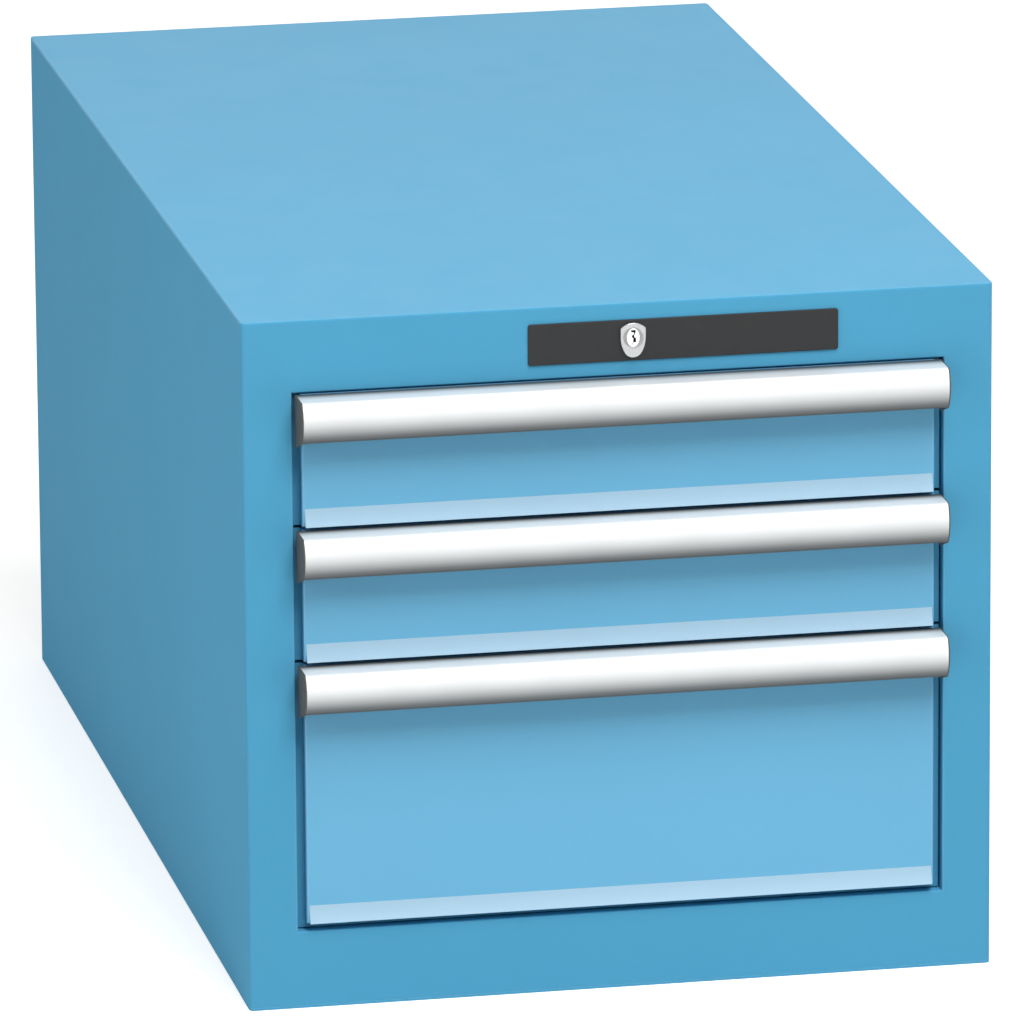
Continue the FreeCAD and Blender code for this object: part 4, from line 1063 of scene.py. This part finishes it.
def extrude_handle(sizes, name, low, high):
    """A handle: web, shoulder and bulged strip, with the painted shade down its grip."""
    front = front_plane()
    line = grip_line(sizes, high.z, front)
    line += [(front, high.z), (front, high.z - sizes.web)]
    piece = folded_sheet(name, X, (low.x, high.x), line, (0, 0, 1), sizes.wall)
    set_finish(piece, "anodised_aluminium")
    foot = high.z - sizes.strip + sizes.wall / 6
    halfway = front - sizes.reach / 2
    round_off(piece, sizes.eased_edge, 3, lambda one, two: (
        abs(one.x - two.x) > LONG and max(one.z, two.z) < foot and max(one.y, two.y) < halfway))
    leave_edit_mode()
    # Each point's share down the grip, along which the painted shade is mixed in.
    slope = sizes.painted_shade_slope
    longest = sizes.strip + (sizes.reach - sizes.undercut) * slope
    strip = piece.data.attributes.new("down_the_strip", "FLOAT", "POINT")
    for vertex, entry in zip(piece.data.vertices, strip.data):
        down = (high.z - vertex.co.z) + (front - vertex.co.y) * slope
        entry.value = down / longest
    return piece


class CABINET_OT_handles(bpy.types.Operator):
    """Extrude the handles, all three alike"""
    bl_idname = "cabinet.handles"
    bl_label = "Handles"

    def execute(self, context):
        pairs = [(f"drawer_{number}_handle", f"drawer_{number}_handle_extrusion")
                 for number in DRAWERS]
        make_alike(pairs, extrude_handle, context.scene.handle_sizes)
        return {"FINISHED"}


def mould_cap(sizes, name, start, inward, top):
    """A flange that closes a handle's end, and the plug that holds it there."""
    front = front_plane()
    outline = grip_line(sizes, top, front) + [(front, top), (front, top - sizes.cap_rear)]
    cap = solid(f"{name}_cap", X, start, outline, inward * sizes.cap)
    round_off(cap, sizes.cap_edge, 2, lambda one, two: (
        abs(one.x - start) < SAME_PLACE and abs(two.x - start) < SAME_PLACE))
    rear = front - sizes.wall - sizes.plug_play
    nose = front + sizes.shoulder - sizes.reach + sizes.plug_play
    head = top - sizes.wall - sizes.plug_play
    root = start + inward * sizes.cap
    plug = solid(f"{name}_plug", X, root, rectangle(nose, head - sizes.plug_height, rear, head),
                 inward * sizes.plug_depth)
    round_off(plug, sizes.plug_edge, 2, lambda one, two: (
        abs(one.x - root) > LONG and abs(two.x - root) > LONG))
    return [cap, plug]


class CABINET_OT_handle_caps(bpy.types.Operator):
    """Mould the end caps of the handles"""
    bl_idname = "cabinet.handle_caps"
    bl_label = "Handle caps"

    def execute(self, context):
        sizes = context.scene.handle_sizes
        for number in DRAWERS:
            node = f"drawer_{number}_handle_caps"
            low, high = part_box(node)
            parts = mould_cap(sizes, f"drawer_{number}_left", low.x, 1, high.z)
            parts += mould_cap(sizes, f"drawer_{number}_right", high.x, -1, high.z)
            join(*parts)
            piece = newest(f"drawer_{number}_end_caps")
            set_finish(piece, "dark_moulded_plastic")
            complete(piece, node)
        return {"FINISHED"}


def turn_spools(sizes, name, low, high):
    """A left and a right spool roller, from the box that holds both."""
    axis = (low + high) / 2
    strip_low, strip_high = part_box("drawer_1_right_carriage")
    middle = (strip_low.x + strip_high.x) / 2
    tread = (high.z - low.z) / 2
    half = high.x - middle
    chamfer, dish, inner = sizes.chamfer, sizes.dish, sizes.hub_half
    hollow = half - sizes.dish_depth
    outer_side = [
        (hollow, 0.0), (hollow, dish - chamfer), (half, dish), (half, tread - chamfer),
        (half - chamfer, tread), (inner + chamfer, tread), (inner, tread - chamfer),
        (inner, sizes.hub)]
    profile = [(middle - x, r) for x, r in outer_side]
    profile += [(middle + x, r) for x, r in reversed(outer_side)]
    spools = []
    for side, hand in ((1, "right"), (-1, "left")):
        points = [Vector((side * x, axis.y, axis.z + r)) for x, r in profile]
        spool = trace(f"spool_{hand}", points)
        bpy.ops.mesh.spin(
            steps=ROLLER_SIDES, angle=math.tau, center=axis, axis=(1, 0, 0),
            use_auto_merge=True)
        close_up(spool)
        spools.append(spool)
    join(*spools)
    piece = newest(name)
    set_finish(piece, "roller_plastic")
    return piece


class CABINET_OT_rollers(bpy.types.Operator):
    """Turn the spool rollers, a left and a right one in each row"""
    bl_idname = "cabinet.rollers"
    bl_label = "Rollers"

    def execute(self, context):
        pairs = [(f"drawer_{number}_{row}_rollers", f"drawer_{number}_{row}_spools")
                 for number in DRAWERS for row in ROLLER_ROWS]
        make_alike(pairs, turn_spools, context.scene.roller_sizes)
        return {"FINISHED"}


class CABINET_OT_remaining_nodes(bpy.types.Operator):
    """Give the CAD nodes that stay in view their finishes"""
    bl_idname = "cabinet.remaining_nodes"
    bl_label = "Sheet and gear from CAD"

    def execute(self, context):
        for node in frame["nodes"].values():
            slot = node.material_slots[0].material.name.split(".")[0]
            if slot == "blue_powder_coat":
                slot = "blue_powder_coat_on_folded_sheet"
            node.material_slots[0].material = finish(slot)
        return {"FINISHED"}


def seen_directly(tree, otherwise, strength):
    """One strength for what the eye, a mirror or a glass sees, another for the light it gives."""
    path = add_node(tree, "LightPath")
    seen = add_node(tree, "Math", {"operation": "MAXIMUM"}, {
        0: path.outputs["Is Camera Ray"], 1: path.outputs["Is Glossy Ray"]})
    seen = add_node(tree, "Math", {"operation": "MAXIMUM"}, {
        0: seen.outputs[0], 1: path.outputs["Is Transmission Ray"]})
    return add_node(tree, "MapRange", {"To Min": otherwise, "To Max": strength}, {
        "Value": seen.outputs[0]}).outputs["Result"]


class CABINET_OT_stage(bpy.types.Operator):
    """Set up the pale floor, the soft light and the camera"""
    bl_idname = "cabinet.stage"
    bl_label = "Studio"

    def execute(self, context):
        settings = context.scene.studio_settings
        bpy.ops.object.select_all(action="DESELECT")
        bpy.ops.mesh.primitive_plane_add(size=2 * settings.floor_half)
        floor = newest("studio_floor")
        floor.data.materials.append(self.floor_finish(context))

        for name, setting, wide, high, place, aim in SOFTBOXES:
            bpy.ops.object.light_add(type="AREA", location=place)
            lamp = newest(name)
            lamp.data.shape = "RECTANGLE"
            lamp.data.size, lamp.data.size_y = wide, high
            lamp.data.energy = getattr(settings, setting)
            direction = Vector(aim) - Vector(place)
            lamp.rotation_euler = direction.to_track_quat("-Z", "Y").to_euler()

        self.world(context, settings.ambient)

        bpy.ops.object.camera_add()
        camera = newest("photo_camera")
        camera.data.sensor_width = SENSOR_WIDTH
        camera.data.lens = settings.lens
        camera.data.clip_end = CAMERA_REACH
        level = (CAMERA_AIM - CAMERA_PLACE).to_track_quat("-Z", "Y")
        camera.location = CAMERA_PLACE
        camera.rotation_euler = (level @ Quaternion((0, 0, 1), -settings.roll)).to_euler()
        context.scene.camera = camera
        context.scene.view_settings.view_transform = "Standard"
        return {"FINISHED"}

    def floor_finish(self, context):
        """Painted board, matt, with a faint unevenness; white where only the eye meets it."""
        material, shader = surface(
            "Painted board - pale", tuple(context.scene.cabinet_colours.floor),
            {"Roughness": 0.8, "Emission Color": WHITE}, 0.01, clouds={"width": 600})
        tree = material.node_tree
        lift = seen_directly(tree, 0.0, context.scene.studio_settings.floor_lift)
        tree.links.new(lift, shader.inputs["Emission Strength"])
        return material

    def world(self, context, ambient):
        """Even light all round, which the eye and mirrors see as white."""
        world = bpy.data.worlds.new("Studio air")
        world.use_nodes = True
        tree = world.node_tree
        tree.nodes.clear()
        light = add_node(tree, "Background", {"Color": WHITE}, {
            "Strength": seen_directly(tree, ambient, 1.0)})
        add_node(tree, "OutputWorld", {}, {"Surface": light.outputs["Background"]})
        context.scene.world = world


class CABINET_PT_pieces(bpy.types.Panel):
    """The cabinet's pieces, sizes and colours"""
    bl_idname = "CABINET_PT_pieces"
    bl_label = "Drawer cabinet"
    bl_space_type = "VIEW_3D"
    bl_region_type = "UI"
    bl_category = "Cabinet"

    def draw(self, context):
        for operator in OPERATORS:
            self.layout.operator(operator.bl_idname)
        for label, group in PROPERTY_GROUPS:
            box = self.layout.box()
            box.label(text=label.replace("_", " ").capitalize())
            for key in group.__annotations__:
                box.prop(getattr(context.scene, label), key)


PROPERTY_GROUPS = (
    ("housing_sizes", HousingSizes),
    ("front_sizes", FrontSizes),
    ("handle_sizes", HandleSizes),
    ("lock_sizes", LockSizes),
    ("roller_sizes", RollerSizes),
    ("cabinet_colours", CabinetColours),
    ("studio_settings", StudioSettings),
)

OPERATORS = (
    CABINET_OT_side_panels,
    CABINET_OT_top_panel,
    CABINET_OT_frame_rails,
    CABINET_OT_lock_plate,
    CABINET_OT_lock_cylinder,
    CABINET_OT_lock_plug,
    CABINET_OT_drawer_fronts,
    CABINET_OT_handles,
    CABINET_OT_handle_caps,
    CABINET_OT_rollers,
    CABINET_OT_remaining_nodes,
    CABINET_OT_stage,
)


def register():
    """Registers the sizes and colours, the operators and the panel."""
    for label, group in PROPERTY_GROUPS:
        bpy.utils.register_class(group)
        setattr(bpy.types.Scene, label, PointerProperty(type=group))
    for operator in OPERATORS:
        bpy.utils.register_class(operator)
    bpy.utils.register_class(CABINET_PT_pieces)


def unregister():
    """Takes everything out again."""
    bpy.utils.unregister_class(CABINET_PT_pieces)
    for operator in reversed(OPERATORS):
        bpy.utils.unregister_class(operator)
    for label, group in reversed(PROPERTY_GROUPS):
        delattr(bpy.types.Scene, label)
        bpy.utils.unregister_class(group)


def main():
    """Makes the cabinet and its studio."""
    register()
    for operator in OPERATORS:
        getattr(bpy.ops.cabinet, operator.bl_idname.split(".")[1])()


if __name__ == "__main__":
    main()
